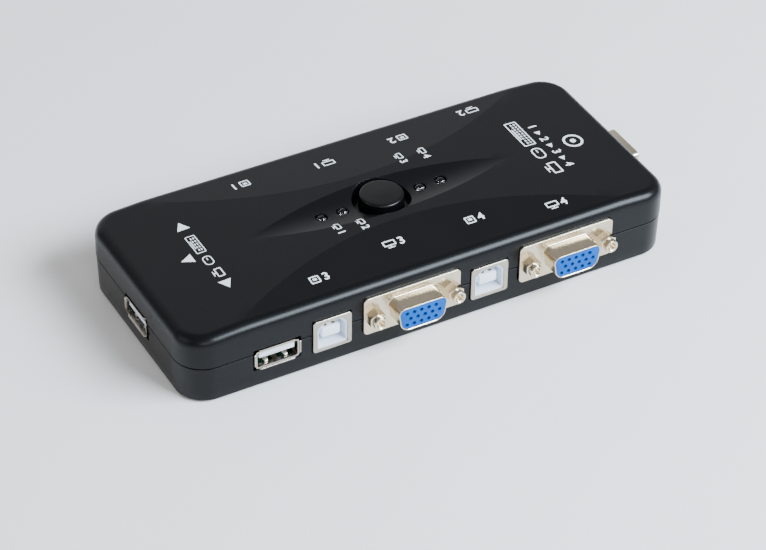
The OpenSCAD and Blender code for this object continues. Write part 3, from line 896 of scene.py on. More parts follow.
    def build(self, lamp_places: Sequence[float]) -> Piece:
        """Make the finished cover.

        Args:
            lamp_places: Places of the lamps along the length.

        Returns:
            The cover.
        """
        form = self.form
        cover = self.sheet()
        self.skirt(cover)
        combine(cover, PortWall(form).openings())
        holes = [disc("hole", self.hole_r, *self.hole_span, sides=96)]
        holes += [disc("hole", self.lamp_hole_r, *self.hole_span, middle=(x, 0.0), sides=32)
                  for x in lamp_places]
        combine(cover, [form.bring(hole) for hole in holes])
        self.rim_bevel(cover, 0.0, self.hole_r, self.hole_round)
        for x in lamp_places:
            self.rim_bevel(cover, x, self.lamp_hole_r, self.lamp_hole_round)
        self.crisp(cover)
        shade(cover, 32)
        return hand_over(cover, CASE, Body.CASE, "top_cover")


@dataclass
class BottomCover:
    """Lower shell with a lip inside the top cover, recesses for the feet and screws."""

    form: CaseForm
    base_round: float = 0.6
    lip_rise: float = 1.4
    lip_inset: float = 1.0
    floor: float = 2.0
    top_bevel: float = 0.03
    inset: float = 0.1
    start_t: float = 0.2
    draft_steps: int = 4
    wells: tuple[tuple[str, float, float], ...] = (("rubber_feet", 0.25, 0.7), ("cover_screws", 0.3, 3.4))

    def build(self) -> Piece:
        """Make the finished cover.

        Returns:
            The cover.
        """
        form = self.form
        top = form.parting_z - form.parting_gap / 2
        rise = form.parting_gap + self.lip_rise
        outline = rectangle(2 * (form.half_l - self.inset), 2 * (form.half_w - self.inset))
        shell = bar("bottom_cover_shell", outline, top - self.start_t, top - self.top_bevel, Axis.Z,
                    form.corner_r, 12)
        with capped(shell, DOWN):
            share = 1 / self.draft_steps
            for _ in range(self.draft_steps):
                step(form.draft * share, (top - self.start_t - self.base_round) * share)
            round_over(self.base_round, 4)
        with capped(shell, UP):
            step(self.top_bevel, self.top_bevel)
            step(self.lip_inset - self.top_bevel, 0.0)
            push(z=rise)
            step(self.inset, 0.0)
            step(form.wall - self.lip_inset - self.inset, 0.0)
            push(z=-(top + rise - self.floor))
        form.bring(shell)
        combine(shell, PortWall(form).openings())
        combine(shell, [form.bring(disc("well", CORNER_ROUNDS[node] + room, -1, depth, middle=middle))
                        for node, room, depth in self.wells for middle in form.corner_rounds(node)])
        shade(shell, 30)
        return hand_over(shell, CASE, Body.CASE, "bottom_cover")


# ---------------------------------------------------------------- button, lamps, underside


@dataclass
class PushButton:
    """Round push button: bevelled cap, shoulder in the guide, stop flange and stem."""

    form: CaseForm
    cap_r: float = 6.5
    shoulder_r: float = 8.35
    shoulder_z: float = 20.2
    shoulder_round: float = 0.4
    foot_round: tuple[float, float] = (0.25, 0.2)
    edge: float = 0.75
    dome: float = 0.15
    dome_rings: tuple[float, ...] = (0.8, 0.8, 0.9, 0.9, 0.9)
    dome_slope: float = 0.035
    flange_rise: float = 0.8
    flange_t: float = 1.2
    stem_r: float = 2.75

    def build(self) -> Piece:
        """Make the finished button.

        Returns:
            The button.
        """
        low, high = self.form.box("push_button")
        flange_r, flange_z = (high.x - low.x) / 2, low.z + self.flange_rise
        out, up = self.foot_round
        button = disc("push_button_cap", self.shoulder_r, flange_z, self.shoulder_z - self.shoulder_round,
                      sides=96)
        with capped(button, UP):
            round_over(self.shoulder_round, 3)
            step(self.shoulder_r - self.cap_r - self.shoulder_round - out, 0.0)
            step(out, up)
            push(z=high.z - self.dome - self.shoulder_z - up - self.edge)
            round_over(self.edge, 6)
            for ring in self.dome_rings:
                step(ring, self.dome_slope * ring)
        flange = disc("flange", flange_r, flange_z, flange_z + self.flange_t, sides=96)
        stem = disc("stem", self.stem_r, low.z, low.z + self.flange_t, sides=32)
        for piece in (flange, stem):
            soften(piece, 0.2)
            combine(button, [piece], "UNION")
        self.form.bring(button)
        shade(button, 30)
        return hand_over(button, BUTTON, Body.BUTTON, "push_button")


@dataclass
class Lamps:
    """Four clear round lamps with the metal posts inside them."""

    form: CaseForm
    radius: float = 1.5
    collar_r: float = 1.9
    collar_t: float = 1.0
    bevel: float = 0.1
    cup_r: float = 0.55
    cup_x: float = -0.25
    post: tuple[float, float] = (0.4, 0.5)
    post_x: float = 0.62

    def places(self) -> list[float]:
        """Read the lamps' places along the length from the frame."""
        return [sum(corner.x for corner in self.form.box(f"lamp_{number}")) / 2 for number in range(1, 5)]

    def lens(self, number: int, x: float) -> None:
        """Make one lamp: domed lens with a collar, and the cup and post inside.

        Args:
            number: Number of the lamp.
            x: Its place along the length.
        """
        low, high = self.form.box(f"lamp_{number}")
        lens = disc(f"lamp_{number}_lens", self.collar_r, low.z, low.z + self.collar_t - self.bevel,
                    middle=(x, 0.0))
        with capped(lens, UP):
            step(self.bevel, self.bevel)
            step(self.collar_r - self.radius - self.bevel, 0.0)
            push(z=high.z - low.z - self.collar_t - self.radius)
            round_over(self.radius * 0.995, 12)
        cup = disc("cup", self.cup_r, high.z - 2.9, high.z - 1.9, middle=(x + self.cup_x, 0.0), sides=24)
        with capped(cup, UP):
            step(0.12, 0.0)
            step(0.2, -0.3)
        post = bar("post", rectangle(*self.post, (x + self.post_x, 0.0)), high.z - 4.4, high.z - 1.7,
                   Axis.Z, 0.08, 2)
        for piece, dress in ((lens, LAMP), (join([cup, post], f"lamp_{number}_posts"), PLATED)):
            shade(self.form.bring(piece))
            hand_over(piece, dress, Body.CASE, f"lamp_{number}")

    def build(self) -> None:
        """Make all four lamps."""
        for number, x in enumerate(self.places(), start=1):
            self.lens(number, x)


@dataclass
class Underside:
    """Rubber feet and cover screws."""

    form: CaseForm
    foot_round: float = 0.3
    head_round: float = 0.5
    head_t: float = 1.9
    shank_r: float = 1.2
    slot: tuple[float, float] = (2.6, 0.6)
    slot_depth: float = 0.9

    def foot(self, middle: tuple[float, float]) -> Piece:
        """Make one foot, slightly dished below."""
        low, high = self.form.box("rubber_feet")
        foot = disc("foot", CORNER_ROUNDS["rubber_feet"], low.z + self.foot_round, high.z, middle=middle,
                    sides=64)
        with capped(foot, DOWN):
            round_over(self.foot_round, 4)
            step(1.2, -0.06)
        return foot

    def screw(self, middle: tuple[float, float]) -> Piece:
        """Make one cross-slotted screw, head down."""
        low, high = self.form.box("cover_screws")
        radius = CORNER_ROUNDS["cover_screws"]
        head = disc("head", radius, low.z + self.head_round, low.z + self.head_t, middle=middle)
        with capped(head, DOWN):
            round_over(self.head_round, 4)
        with capped(head, UP):
            step(radius - self.shank_r, 0.0)
            push(z=high.z - low.z - self.head_t)
        for size in (self.slot, self.slot[::-1]):
            combine(head, [bar("slot", rectangle(*size, middle), low.z - 1, low.z + self.slot_depth,
                               Axis.Z, 0.1, 2)])
        return head

    def build(self) -> None:
        """Make the feet and the screws."""
        for name, make, dress, node in (("feet", self.foot, FOOT, "rubber_feet"),
                                        ("screws", self.screw, PLATED, "cover_screws")):
            piece = self.form.bring(join([make(middle) for middle in self.form.corner_rounds(node)], name))
            shade(piece)
            hand_over(piece, dress, Body.CASE, node)


# ---------------------------------------------------------------- ports


@dataclass
class Port:
    """A connector, modelled facing the front with the case wall at Y zero, then copied round the case."""

    form: CaseForm
    level: float = 0.0
    proud: float = 0.5
    outer: tuple[float, float] = (12.0, 12.0)

    def mouth(self) -> float:
        """Distance from the case wall to the front of the shell."""
        return self.proud

    def metal(self) -> Piece:
        """Make the metal shell."""
        raise NotImplementedError

    def insert(self) -> Piece:
        """Make the plastic insert."""
        raise NotImplementedError

    def parts(self) -> list[Part]:
        """Model the pieces once, each with the node that it stands for and its dress."""
        return [(self.metal(), "shell", PORT_METAL), (self.insert(), "insulator", PORT_WHITE)]

    def block(self, name: str, start: float, end: float, radius: float, segments: int = 4,
              size: tuple[float, float] | None = None, shrink: float = 0.0) -> Piece:
        """Make a bar about the connector's axis.

        Args:
            name: Name of the bar.
            start: Its front end.
            end: Its back end.
            radius: Radius of its long edges.
            segments: Segments of each rounded edge.
            size: Width and height, or None for the outside of the connector.
            shrink: How much smaller it is, on each side.

        Returns:
            The bar.
        """
        width, height = (length - 2 * shrink for length in size or self.outer)
        return bar(name, rectangle(width, height, (0.0, self.level)), start, end, radius=radius,
                   segments=segments)

    def seat(self, shell: str) -> Matrix:
        """Work out where a copy goes, from the box of its shell in the frame.

        Args:
            shell: Frame node of the shell.

        Returns:
            Turn and shift of the copy.
        """
        form, reach = self.form, self.mouth()
        low, high = form.box(shell)
        middle = (low + high) / 2
        if low.x < -form.half_l or high.x > form.half_l:
            side = Side.LEFT if middle.x < 0 else Side.RIGHT
            spot = (low.x + reach if middle.x < 0 else high.x - reach, middle.y)
        else:
            side = Side.FRONT if middle.y < 0 else Side.REAR
            spot = (middle.x, low.y + reach if middle.y < 0 else high.y - reach)
        return Matrix.Translation(form.place(*spot, 0.0)) @ side.turned()

    def build(self, shells: Sequence[str]) -> None:
        """Copy the connector to each of its places.

        Args:
            shells: Frame nodes of the shells.
        """
        self.level = sum(corner.z for corner in self.form.box(shells[0])) / 2
        parts = self.parts()
        for shell in shells:
            stem = shell.removesuffix("_shell")
            place = self.seat(shell)
            for template, part, dress in parts:
                copy = copy_to(template, f"{stem}_{template.name}", place)
                hand_over(copy, dress, Body.CASE, f"{stem}_{part}")
        for template, _, _ in parts:
            bpy.data.objects.remove(template)


@dataclass
class VideoPort(Port):
    """Screen connector: flange, D-shaped shell, blue insert with three rows of holes, jackscrews."""

    proud: float = 0.8
    outer: tuple[float, float] = (30.8, 12.5)
    flange_t: float = 0.9
    flange_round: float = 0.2
    shell: tuple[float, float] = (16.3, 7.9)
    shell_r: float = 2.5
    shell_t: float = 0.38
    shell_reach: float = 6.1
    root_r: float = 0.45
    rim_r: float = 0.15
    rim_bevel: float = 0.1
    lean: float = math.radians(10)
    jack_spacing: float = 25.0
    jack_reach: float = 5.5
    jack_flats: float = 4.6
    collar_r: float = 2.0
    collar_l: float = 1.9
    collar_round: float = 0.25
    bore_r: float = 1.15
    bore_bevel: float = 0.2
    threads: int = 5
    pitch: tuple[float, float] = (2.29, 1.98)
    hole_r: float = 0.6
    body_size: tuple[float, float] = (29.0, 11.3)
    body_depth: float = 12.6

    def mouth(self) -> float:
        """Distance from the case wall to the front of the D-shaped shell."""
        return self.proud + self.shell_reach

    def d_outline(self, shrink: float) -> Corner:
        """Corners of the D shape.

        Args:
            shrink: Distance inwards from the outside of the shell.

        Returns:
            A function from the signs of a corner to its place.
        """
        half_w, half_h = self.shell[0] / 2 - shrink, self.shell[1] / 2 - shrink
        low_w = half_w - 2 * half_h * math.tan(self.lean)
        return lambda su, sv: (su * (half_w if sv > 0 else low_w), self.level + sv * half_h)

    def metal(self) -> Piece:
        """Make the flange and the drawn D-shaped shell as one piece."""
        plate = self.block("flange", -self.proud + self.flange_round, self.flange_t - self.proud, FLANGE_R, 8)
        with capped(plate):
            round_over(self.flange_round, 3)
        root = self.root_r
        start = -self.proud + 0.02
        shell = bar("shell", self.d_outline(-root), start, start + 0.3, radius=self.shell_r + root,
                    segments=8)
        with capped(shell):
            for begin, end in quarter(4):
                step(root * (math.sin(end) - math.sin(begin)), root * (math.cos(begin) - math.cos(end)))
            push(y=-(self.shell_reach - root - self.rim_r))
            round_over(self.rim_r, 3)
            step(self.shell_t - self.rim_r - self.rim_bevel, 0.0)
            step(self.rim_bevel, -self.rim_bevel)
            push(y=2.0)
        combine(plate, [shell], "UNION")
        shade(plate)
        return plate

    def insert(self) -> Piece:
        """Make the blue insert, with its holes, and the block behind the flange."""
        front = -self.mouth() + 0.05
        gap = self.shell_t + 0.02
        nose = bar("insert", self.d_outline(gap), front + self.rim_r, front + 3.0,
                   radius=self.shell_r - gap, segments=8)
        with capped(nose):
            round_over(self.rim_r, 2)
        tools = []
        for row in (-1, 0, 1):
            shift = self.pitch[0] / 4 * (1 if row == 0 else -1)
            for number in range(-2, 3):
                spot = (number * self.pitch[0] + shift, self.level + row * self.pitch[1])
                hole = disc("hole", self.hole_r, front + 0.13, front + 2.5, Axis.Y, spot, 16)
                with capped(hole):
                    step(-0.08, 0.13)
                    push(y=-0.5)
                tools.append(hole)
        combine(nose, tools)
        back = self.flange_t - self.proud + 0.05
        block = self.block("block", back, back + self.body_depth, FLANGE_R, size=self.body_size)
        whole = join([nose, block], "insert")
        shade(whole)
        return whole

    def jackscrews(self) -> Piece:
        """Make the two jackscrews: hexagon, round collar and threaded bore."""
        screws = []
        tip, collar_back = -self.jack_reach, -self.jack_reach + self.collar_l
        for sign in (-1, 1):
            spot = (sign * self.jack_spacing / 2, self.level)
            hexagon = disc("hexagon", self.jack_flats / 2 / math.cos(math.pi / 6), collar_back, -self.proud,
                           Axis.Y, spot, 6)
            with capped(hexagon):
                step(0.25, 0.15)
            collar = disc("collar", self.collar_r, tip + self.collar_round, collar_back + 0.4, Axis.Y, spot)
            with capped(collar):
                round_over(self.collar_round, 3)
                step(self.collar_r - self.collar_round - self.bore_r - self.bore_bevel, 0.0)
                step(self.bore_bevel, -self.bore_bevel)
                for _ in range(self.threads):
                    push(y=0.3)
                    step(0.08, -0.1)
                    push(y=0.05)
                    step(-0.08, -0.1)
            screws += [hexagon, collar]
        whole = join(screws, "jackscrews")
        shade(whole, 30)
        return whole

    def parts(self) -> list[Part]:
        """Model the connector's pieces once."""
        return [(self.metal(), "shell", VIDEO_METAL), (self.insert(), "insulator", BLUE),
                (self.jackscrews(), "jackscrews", VIDEO_METAL)]


@dataclass
class DataPort(Port):
    """Square data connector: folded metal shell, white insert with a tongue."""

    proud: float = 0.6
    outer: tuple[float, float] = (12.0, 10.8)
    outer_r: float = 0.9
    rim_r: float = 0.25
    depth: float = 16.0
    opening: tuple[float, float] = (8.5, 7.8)
    metal_margin: float = 0.45
    chamfer: float = 1.9
    sheet: float = 0.4
    gap: float = 0.03
    tongue: tuple[float, float] = (5.6, 3.2)
    tongue_front: float = 0.75
    tongue_round: float = 0.3
    groove: tuple[float, float] = (1.1, 0.7)
    groove_x: float = 1.25

    def throat(self, grow: float, start: float, end: float) -> Piece:
        """Make a bar with the shape of the opening: upper corners cut off.

        Args:
            grow: Distance outwards from the opening.
            start: Front end.
            end: Back end.

        Returns:
            The bar.
        """
        throat = self.block("throat", start, end, 0.0, size=self.opening, shrink=-grow)
        top = (self.level + self.opening[1] / 2 + grow) * MM
        with editing(throat):
            pick(throat, "EDGE", lambda edge: runs_along(edge, Axis.Y)
                 and abs(edge.verts[0].co.z - top) < 1e-5)
            bpy.ops.mesh.bevel(offset=self.chamfer * MM, segments=1, affect="EDGES")
        return throat

    def metal(self) -> Piece:
        """Make the folded shell."""
        shell = self.block("frame", self.rim_r - self.proud, self.depth - self.proud, self.outer_r, 6)
        with capped(shell):
            round_over(self.rim_r, 3)
        combine(shell, [self.block("inner", self.sheet - self.proud, self.depth + 1, 0.5, shrink=self.sheet)])
        combine(shell, [self.throat(self.metal_margin, -3, 2)])
        shade(shell, 32)
        return shell

    def insert(self) -> Piece:
        """Make the white insert with its throat and tongue."""
        face = self.sheet - self.proud + self.gap
        block = self.block("insert", face, self.depth - self.proud - 0.6, 0.4, 3,
                           shrink=self.sheet + self.gap)
        combine(block, [self.throat(0.0, -3, face + 9)])
        tongue = self.block("tongue", self.tongue_front, face + 9.5, 0.35, 3, self.tongue)
        with capped(tongue):
            round_over(self.tongue_round, 2)
        combine(block, [tongue], "UNION")
        combine(block, [
            bar("groove", rectangle(*self.groove, (sx * self.groove_x, self.level + sz * self.tongue[1] / 2)),
                1.4, face + 7) for sx in (-1, 1) for sz in (-1, 1)])
        shade(block, 32)
        return block


@dataclass
class ConsolePort(Port):
    """Flat data connector: shell with flared lips and spring fingers, white tongue."""

    proud: float = 0.4
    outer: tuple[float, float] = (13.2, 5.8)
    outer_r: float = 0.6
    depth: float = 14.0
    flare: float = 0.55
    flare_narrowing: float = 0.94
    lip_gaps: tuple[float, float] = (1.6, 1.3)
    sheet: float = 0.4
    gap: float = 0.05
    tongue_t: float = 1.9
    tongue_round: float = 0.3
    finger_x: float = 3.0
    finger: tuple[float, float] = (1.7, 0.3)
    window: tuple[float, float] = (4.4, 1.6)
    groove: tuple[float, float] = (1.2, 0.9)
    contact_x: tuple[float, ...] = (-3.5, -1.0, 1.0, 3.5)

    def lip(self, length: float, turn: float, distance: float) -> Piece:
        """Make one flared lip.

        Args:
            length: Length along the side of the mouth.
            turn: Turn about the connector's axis, in degrees; zero is the upper lip.
            distance: Distance from the axis to the side of the tube.

        Returns:
            The lip.
        """
        lip = bar("lip", rectangle(length, self.sheet, (0.0, distance - self.sheet / 2)), -self.proud, 1.4)
        for vertex in lip.data.vertices:
            if vertex.co.y < 0:
                vertex.co.z += self.flare * MM
                vertex.co.x *= self.flare_narrowing
        with editing(lip):
            pick(lip, "EDGE", lambda edge: edge.calc_length() < 1.2 * self.sheet * MM
                 and all(vertex.co.y < 0 for vertex in edge.verts))
            bpy.ops.mesh.bevel(offset=0.5 * MM, segments=4, affect="EDGES")
        soften(lip, 0.08)
        lip.matrix_world = (Matrix.Translation((0, 0, self.level * MM))
                            @ Matrix.Rotation(math.radians(turn), 4, "Y"))
        settle(lip)
        return lip

    def spring(self, x: float, sign: int) -> Piece:
        """Make one spring finger that leans in from the upper or lower wall.

        Args:
            x: Place across the mouth.
            sign: One for the upper wall, minus one for the lower wall.

        Returns:
            The finger.
        """
        rises = {1.0: 0.15, 2.0: 0.75, 3.2: 0.85, 5.5: 0.35, 8.0: 0.0}
        start, *cuts, end = rises
        wall = self.level + sign * (self.outer[1] / 2 - self.sheet)
        finger = bar("finger", rectangle(*self.finger, (x, wall - sign * self.finger[1] / 2)), start, end)
        with editing(finger):
            for cut in cuts:
                bpy.ops.mesh.select_all(action="SELECT")
                bpy.ops.mesh.bisect(plane_co=(0, cut * MM, 0), plane_no=(0, 1, 0))
        for vertex in finger.data.vertices:
            spot = min(rises, key=lambda value: abs(value * MM - vertex.co.y))
            vertex.co.z -= sign * rises[spot] * MM
            if spot == start:
                vertex.co.x = (x + (vertex.co.x / MM - x) * 0.6) * MM
        soften(finger, 0.06)
        return finger

    def metal(self) -> Piece:
        """Make the tube, its lips and its spring fingers."""
        tube = self.block("frame", -0.1, self.depth - self.proud, self.outer_r)
        combine(tube, [self.block("inner", -2, self.depth - 1, 0.3, 3, shrink=self.sheet)])
        spots = [(x, sign) for x in (-self.finger_x, self.finger_x) for sign in (-1, 1)]
        half_w, half_h = self.outer[0] / 2, self.outer[1] / 2
        combine(tube, [bar("window", rectangle(*self.window, (x, self.level + sign * half_h)), 0.9, 7.6)
                       for x, sign in spots])
        long, short = (size - gap for size, gap in zip(self.outer, self.lip_gaps))
        lips = [self.lip(*lip) for lip in ((long, 0, half_h), (long, 180, half_h), (short, 90, half_w),
                                           (short, -90, half_w))]
        whole = join([tube, *lips, *(self.spring(x, sign) for x, sign in spots)], "frame")
        shade(whole)
        return whole

    def insert(self) -> Piece:
        """Make the tongue and the block that closes the back of the tube."""
        gap = self.sheet + self.gap
        width, height = self.outer[0] - 2 * gap, self.outer[1] - 2 * gap
        back = self.depth - 1.05
        tongue_z = self.level + height / 2 - 0.4 - self.tongue_t / 2
        block = self.block("insert", back - 3.4, back, 0.3, 2, shrink=gap)
        tongue = bar("tongue", rectangle(width - 1.4, self.tongue_t, (0.0, tongue_z)), 0.6, back - 1,
                     radius=0.15, segments=2)
        with capped(tongue):
            round_over(self.tongue_round, 2)
        combine(block, [tongue], "UNION")
        combine(block, [bar("groove", rectangle(*self.groove, (x, tongue_z - self.tongue_t / 2)), 1.4, 9.4)
                        for x in self.contact_x])
        shade(block, 32)
        return block


# ---------------------------------------------------------------- printed marks


@dataclass
class Mark:
    """One printed mark: flat shapes drawn about its own middle, then laid on the top surface."""

    form: CaseForm
    name: str
    line: float = 0.42
    lift: float = 0.03
    thickness: float = 0.08
    cell: float = 0.8
    shapes: list[Piece] = field(default_factory=list)

    def flat(self, points: Sequence[tuple[float, float]], hollow: float = 0.0, radius: float = 0.0) -> None:
        """Draw a flat four-cornered or three-cornered shape.

        Args:
            points: Corners, anticlockwise.
            hollow: Width of the outline, or zero for a filled shape.
            radius: Radius of the corners.
        """
        clear_selection()
        bpy.ops.mesh.primitive_circle_add(vertices=len(points), radius=1.0, fill_type="NGON")
        shape = bpy.context.object
        for vertex, point in zip(shape.data.vertices, points):
            vertex.co = Vector((*point, 0.0)) * MM
        with editing(shape):
            bpy.ops.mesh.select_all(action="SELECT")
            bpy.ops.mesh.normals_make_consistent(inside=False)
            if radius:
                bpy.ops.mesh.bevel(offset=radius * MM, segments=4, affect="VERTICES")
            if hollow:
                pick(shape, "FACE", lambda face: True)
                step(hollow, 0.0)
                bpy.ops.mesh.delete(type="FACE")
        self.shapes.append(shape)

    def box(self, x: float, y: float, width: float, height: float, hollow: float = 0.0,
            radius: float = 0.0) -> None:
        """Draw a rectangle by its middle and size, filled or hollow."""
        w, h = width / 2, height / 2
        self.flat([(x - w, y - h), (x + w, y - h), (x + w, y + h), (x - w, y + h)], hollow, radius)

    def arrow(self, x: float, y: float, size: float, turn: float) -> None:
        """Draw a filled triangle that points along a turn, in degrees from X."""
        spots = [(size * 0.62, 0.0), (-size * 0.38, size * 0.55), (-size * 0.38, -size * 0.55)]
        cosine, sine = math.cos(math.radians(turn)), math.sin(math.radians(turn))
        self.flat([(x + u * cosine - v * sine, y + u * sine + v * cosine) for u, v in spots])

    def digit(self, text: str, x: float, y: float, size: float) -> None:
        """Draw a number.

        Args:
            text: The digits.
            x: Middle across.
            y: Middle upwards.
            size: Height of the digits.
        """
        clear_selection()
        bpy.ops.object.text_add(location=(x * MM, y * MM, 0.0))
        letters = bpy.context.object
        letters.data.body = text
        letters.data.size = size * MM / 0.72
        letters.data.offset = 0.03 * size * MM
        letters.data.align_x = "CENTER"
        letters.data.align_y = "CENTER"
        letters.data.resolution_u = 6
        bpy.ops.object.convert(target="MESH")
        settle(letters)
        self.shapes.append(letters)

    def screen(self, x: float, y: float, height: float) -> None:
        """Draw a screen on its stand."""
        width = height * 1.3
        self.box(x, y + height * 0.14, width, height * 0.72, self.line, 0.3)
        self.box(x, y - height * 0.32, self.line * 1.2, height * 0.24)
        self.box(x, y - height * 0.46, width * 0.55, self.line * 0.8)

    def socket(self, x: float, y: float, height: float) -> None:
        """Draw a square socket with a tongue."""
        self.box(x, y, height * 1.05, height, self.line, 0.4)
        self.box(x, y + height * 0.04, height * 0.42, height * 0.3)

    def keyboard(self, x: float, y: float, width: float, height: float) -> None:
        """Draw a keyboard: outline, two rows of keys and a bar."""
        self.box(x, y, width, height, self.line * 0.8, 0.35)
        keys = max(4, round(width / 1.3) - 1)
        for row in (0.2, -0.06):
            for number in range(keys):
                across = (number - (keys - 1) / 2) * (width - 1.6) / keys
                self.box(x + across, y + row * height, (width - 1.6) / keys * 0.6, height * 0.13)
        self.box(x, y - 0.27 * height, width * 0.45, height * 0.11)

    def mouse(self, x: float, y: float, height: float) -> None:
        """Draw a mouse lying along X: rounded outline and split."""
        width = height * 1.5
        self.box(x, y, width, height, self.line * 0.9, height * 0.46)
        self.box(x - width * 0.18, y, width * 0.26, self.line * 0.7)

    def cut_up(self, mark: Piece) -> None:
        """Cut the shapes along a grid, so that they can follow the surface under them.

        Args:
            mark: The flat mark.
        """
        spots = [vertex.co / MM for vertex in mark.data.vertices]
        with editing(mark):
            for axis in (0, 1):
                values = [spot[axis] for spot in spots]
                for number in range(math.ceil(min(values) / self.cell), math.ceil(max(values) / self.cell)):
                    place, normal = Vector((0, 0, 0)), Vector((0, 0, 0))
                    place[axis], normal[axis] = number * self.cell * MM, 1.0
                    bpy.ops.mesh.select_all(action="SELECT")
                    bpy.ops.mesh.bisect(plane_co=place, plane_no=normal)

    def lay(self, x: float, y: float, turn: float) -> Piece:
        """Give the shapes a thickness and lay them on the top surface.

        Args:
            x: Place of the mark's middle along the length.
            y: Place of the mark's middle across the width.
            turn: Turn of the mark, in degrees.

        Returns:
            The finished mark.
        """
        mark = join(self.shapes, self.name)
        self.cut_up(mark)
        modifier = mark.modifiers.new("thicken", "SOLIDIFY")
        modifier.thickness = self.thickness * MM
        modifier.offset = 1.0
        select_only(mark)
        bpy.ops.object.modifier_apply(modifier=modifier.name)
        mark.matrix_world = (Matrix.Translation(self.form.place(x, y, 0.0))
                             @ Matrix.Rotation(math.radians(turn), 4, "Z"))
        settle(mark)
        for vertex in mark.data.vertices:
            spot = self.form.on_case(vertex.co)
            rise = self.lift if spot.z > self.thickness / 2 else self.lift - self.thickness
            vertex.co = self.form.place(spot.x, spot.y, self.form.height(spot.x, spot.y) + rise)
        shade(mark, 30)
        return hand_over(mark, PRINT, Body.CASE)


@dataclass
class Marks:
    """Every printed mark: numbers, arrows and plain pictograms."""

    form: CaseForm

    def port_labels(self) -> None:
        """Number the data and video ports on both long sides; the rear ones read from the rear."""
        places = [("1", -33.0, 24.6, "socket"), ("1", -7.2, 22.4, "screen"), ("2", 18.0, 23.4, "socket"),
                  ("2", 43.2, 26.4, "screen"), ("3", -32.7, -24.5, "socket"), ("3", -6.8, -20.4, "screen"),
                  ("4", 18.7, -21.1, "socket"), ("4", 43.4, -25.6, "screen")]
        for number, x, y, kind in places:
            mark = Mark(self.form, f"mark_{kind}_{number}")
            if kind == "socket":
                mark.socket(-1.6, 0.0, 2.9)
                mark.digit(number, 1.9, 0.0, 2.9)
            else:
                mark.screen(-1.7, 0.0, 3.0)
                mark.digit(number, 2.0, 0.0, 2.9)
            mark.lay(x, y, 180.0 if y > 0 else 0.0)

    def lamp_labels(self) -> None:
        """Number the lamps: the left pair on the front side, the right pair on the rear side."""
        for number, x, y in (("1", -18.2, -8.3), ("2", -11.2, -9.4), ("3", 13.6, 13.2), ("4", 20.8, 12.4)):
            mark = Mark(self.form, f"mark_lamp_{number}", line=0.34)
            mark.screen(-1.5, 0.0, 2.3)
            mark.digit(number, 1.6, 0.0, 2.3)
            mark.lay(x, y, -90.0)

    def console(self) -> None:
        """Mark the three console ports: three arrows, and what plugs in there."""
        mark = Mark(self.form, "mark_console", line=0.36)
        mark.keyboard(-5.6, 0.0, 8.4, 3.0)
        mark.mouse(2.6, 0.0, 2.8)
        mark.screen(8.8, 0.0, 3.0)
        mark.arrow(-14.6, 0.0, 3.6, 180.0)
        mark.arrow(14.0, 0.0, 3.6, 0.0)
        mark.arrow(-0.6, -4.6, 3.6, -90.0)
        mark.lay(-56.3, 0.0, -90.0)

    def title(self) -> None:
        """Print the row of pictograms, the channel numbers and a plain ring at the right end."""
        row = Mark(self.form, "mark_title", line=0.5)
        row.keyboard(-8.4, 0.0, 12.6, 4.0)
        row.mouse(2.4, 0.0, 3.6)
        row.screen(10.6, 0.0, 4.2)
        row.lay(51.2, 0.3, -90.0)
        numbers = Mark(self.form, "mark_channels")
        for place, text in enumerate("1234"):
            numbers.digit(text, -10.5 + 7.0 * place, 0.0, 2.7)
        for place in range(3):
            numbers.arrow(-7.0 + 7.0 * place, 0.0, 1.9, 0.0)
        numbers.lay(56.4, 0.0, -90.0)
        ring = Mark(self.form, "mark_ring")
        ring.box(0.0, 0.0, 6.2, 6.2, 0.7, 3.0)
        ring.box(0.0, 0.0, 1.8, 1.8, 0.0, 0.85)
        ring.lay(63.8, -0.7, -90.0)

    def build(self) -> None:
        """Print every mark."""
        self.port_labels()
        self.lamp_labels()
        self.console()
        self.title()


# ---------------------------------------------------------------- insides and studio


@dataclass
class Insides:
    """Pieces inside the case, kept from the frame."""

    frame: dict

    def build(self) -> None:
        """Dress the circuit board, its pieces and every contact."""
        nodes = list(self.frame["nodes"])
        carry_over(self.frame, [name for name in nodes if name.endswith("_contacts")], GOLD)
        carry_over(self.frame, ["circuit_board"], BOARD_GREEN)
        carry_over(self.frame, ["control_chip", "video_chips"], CHIP_BLACK)
        carry_over(self.frame, ["capacitors"], SLEEVE)
        carry_over(self.frame, ["crystal", "board_screws", "lamp_leads"], STEEL)
        carry_over(self.frame, ["switch_body", "switch_plunger"], SWITCH_GREY)


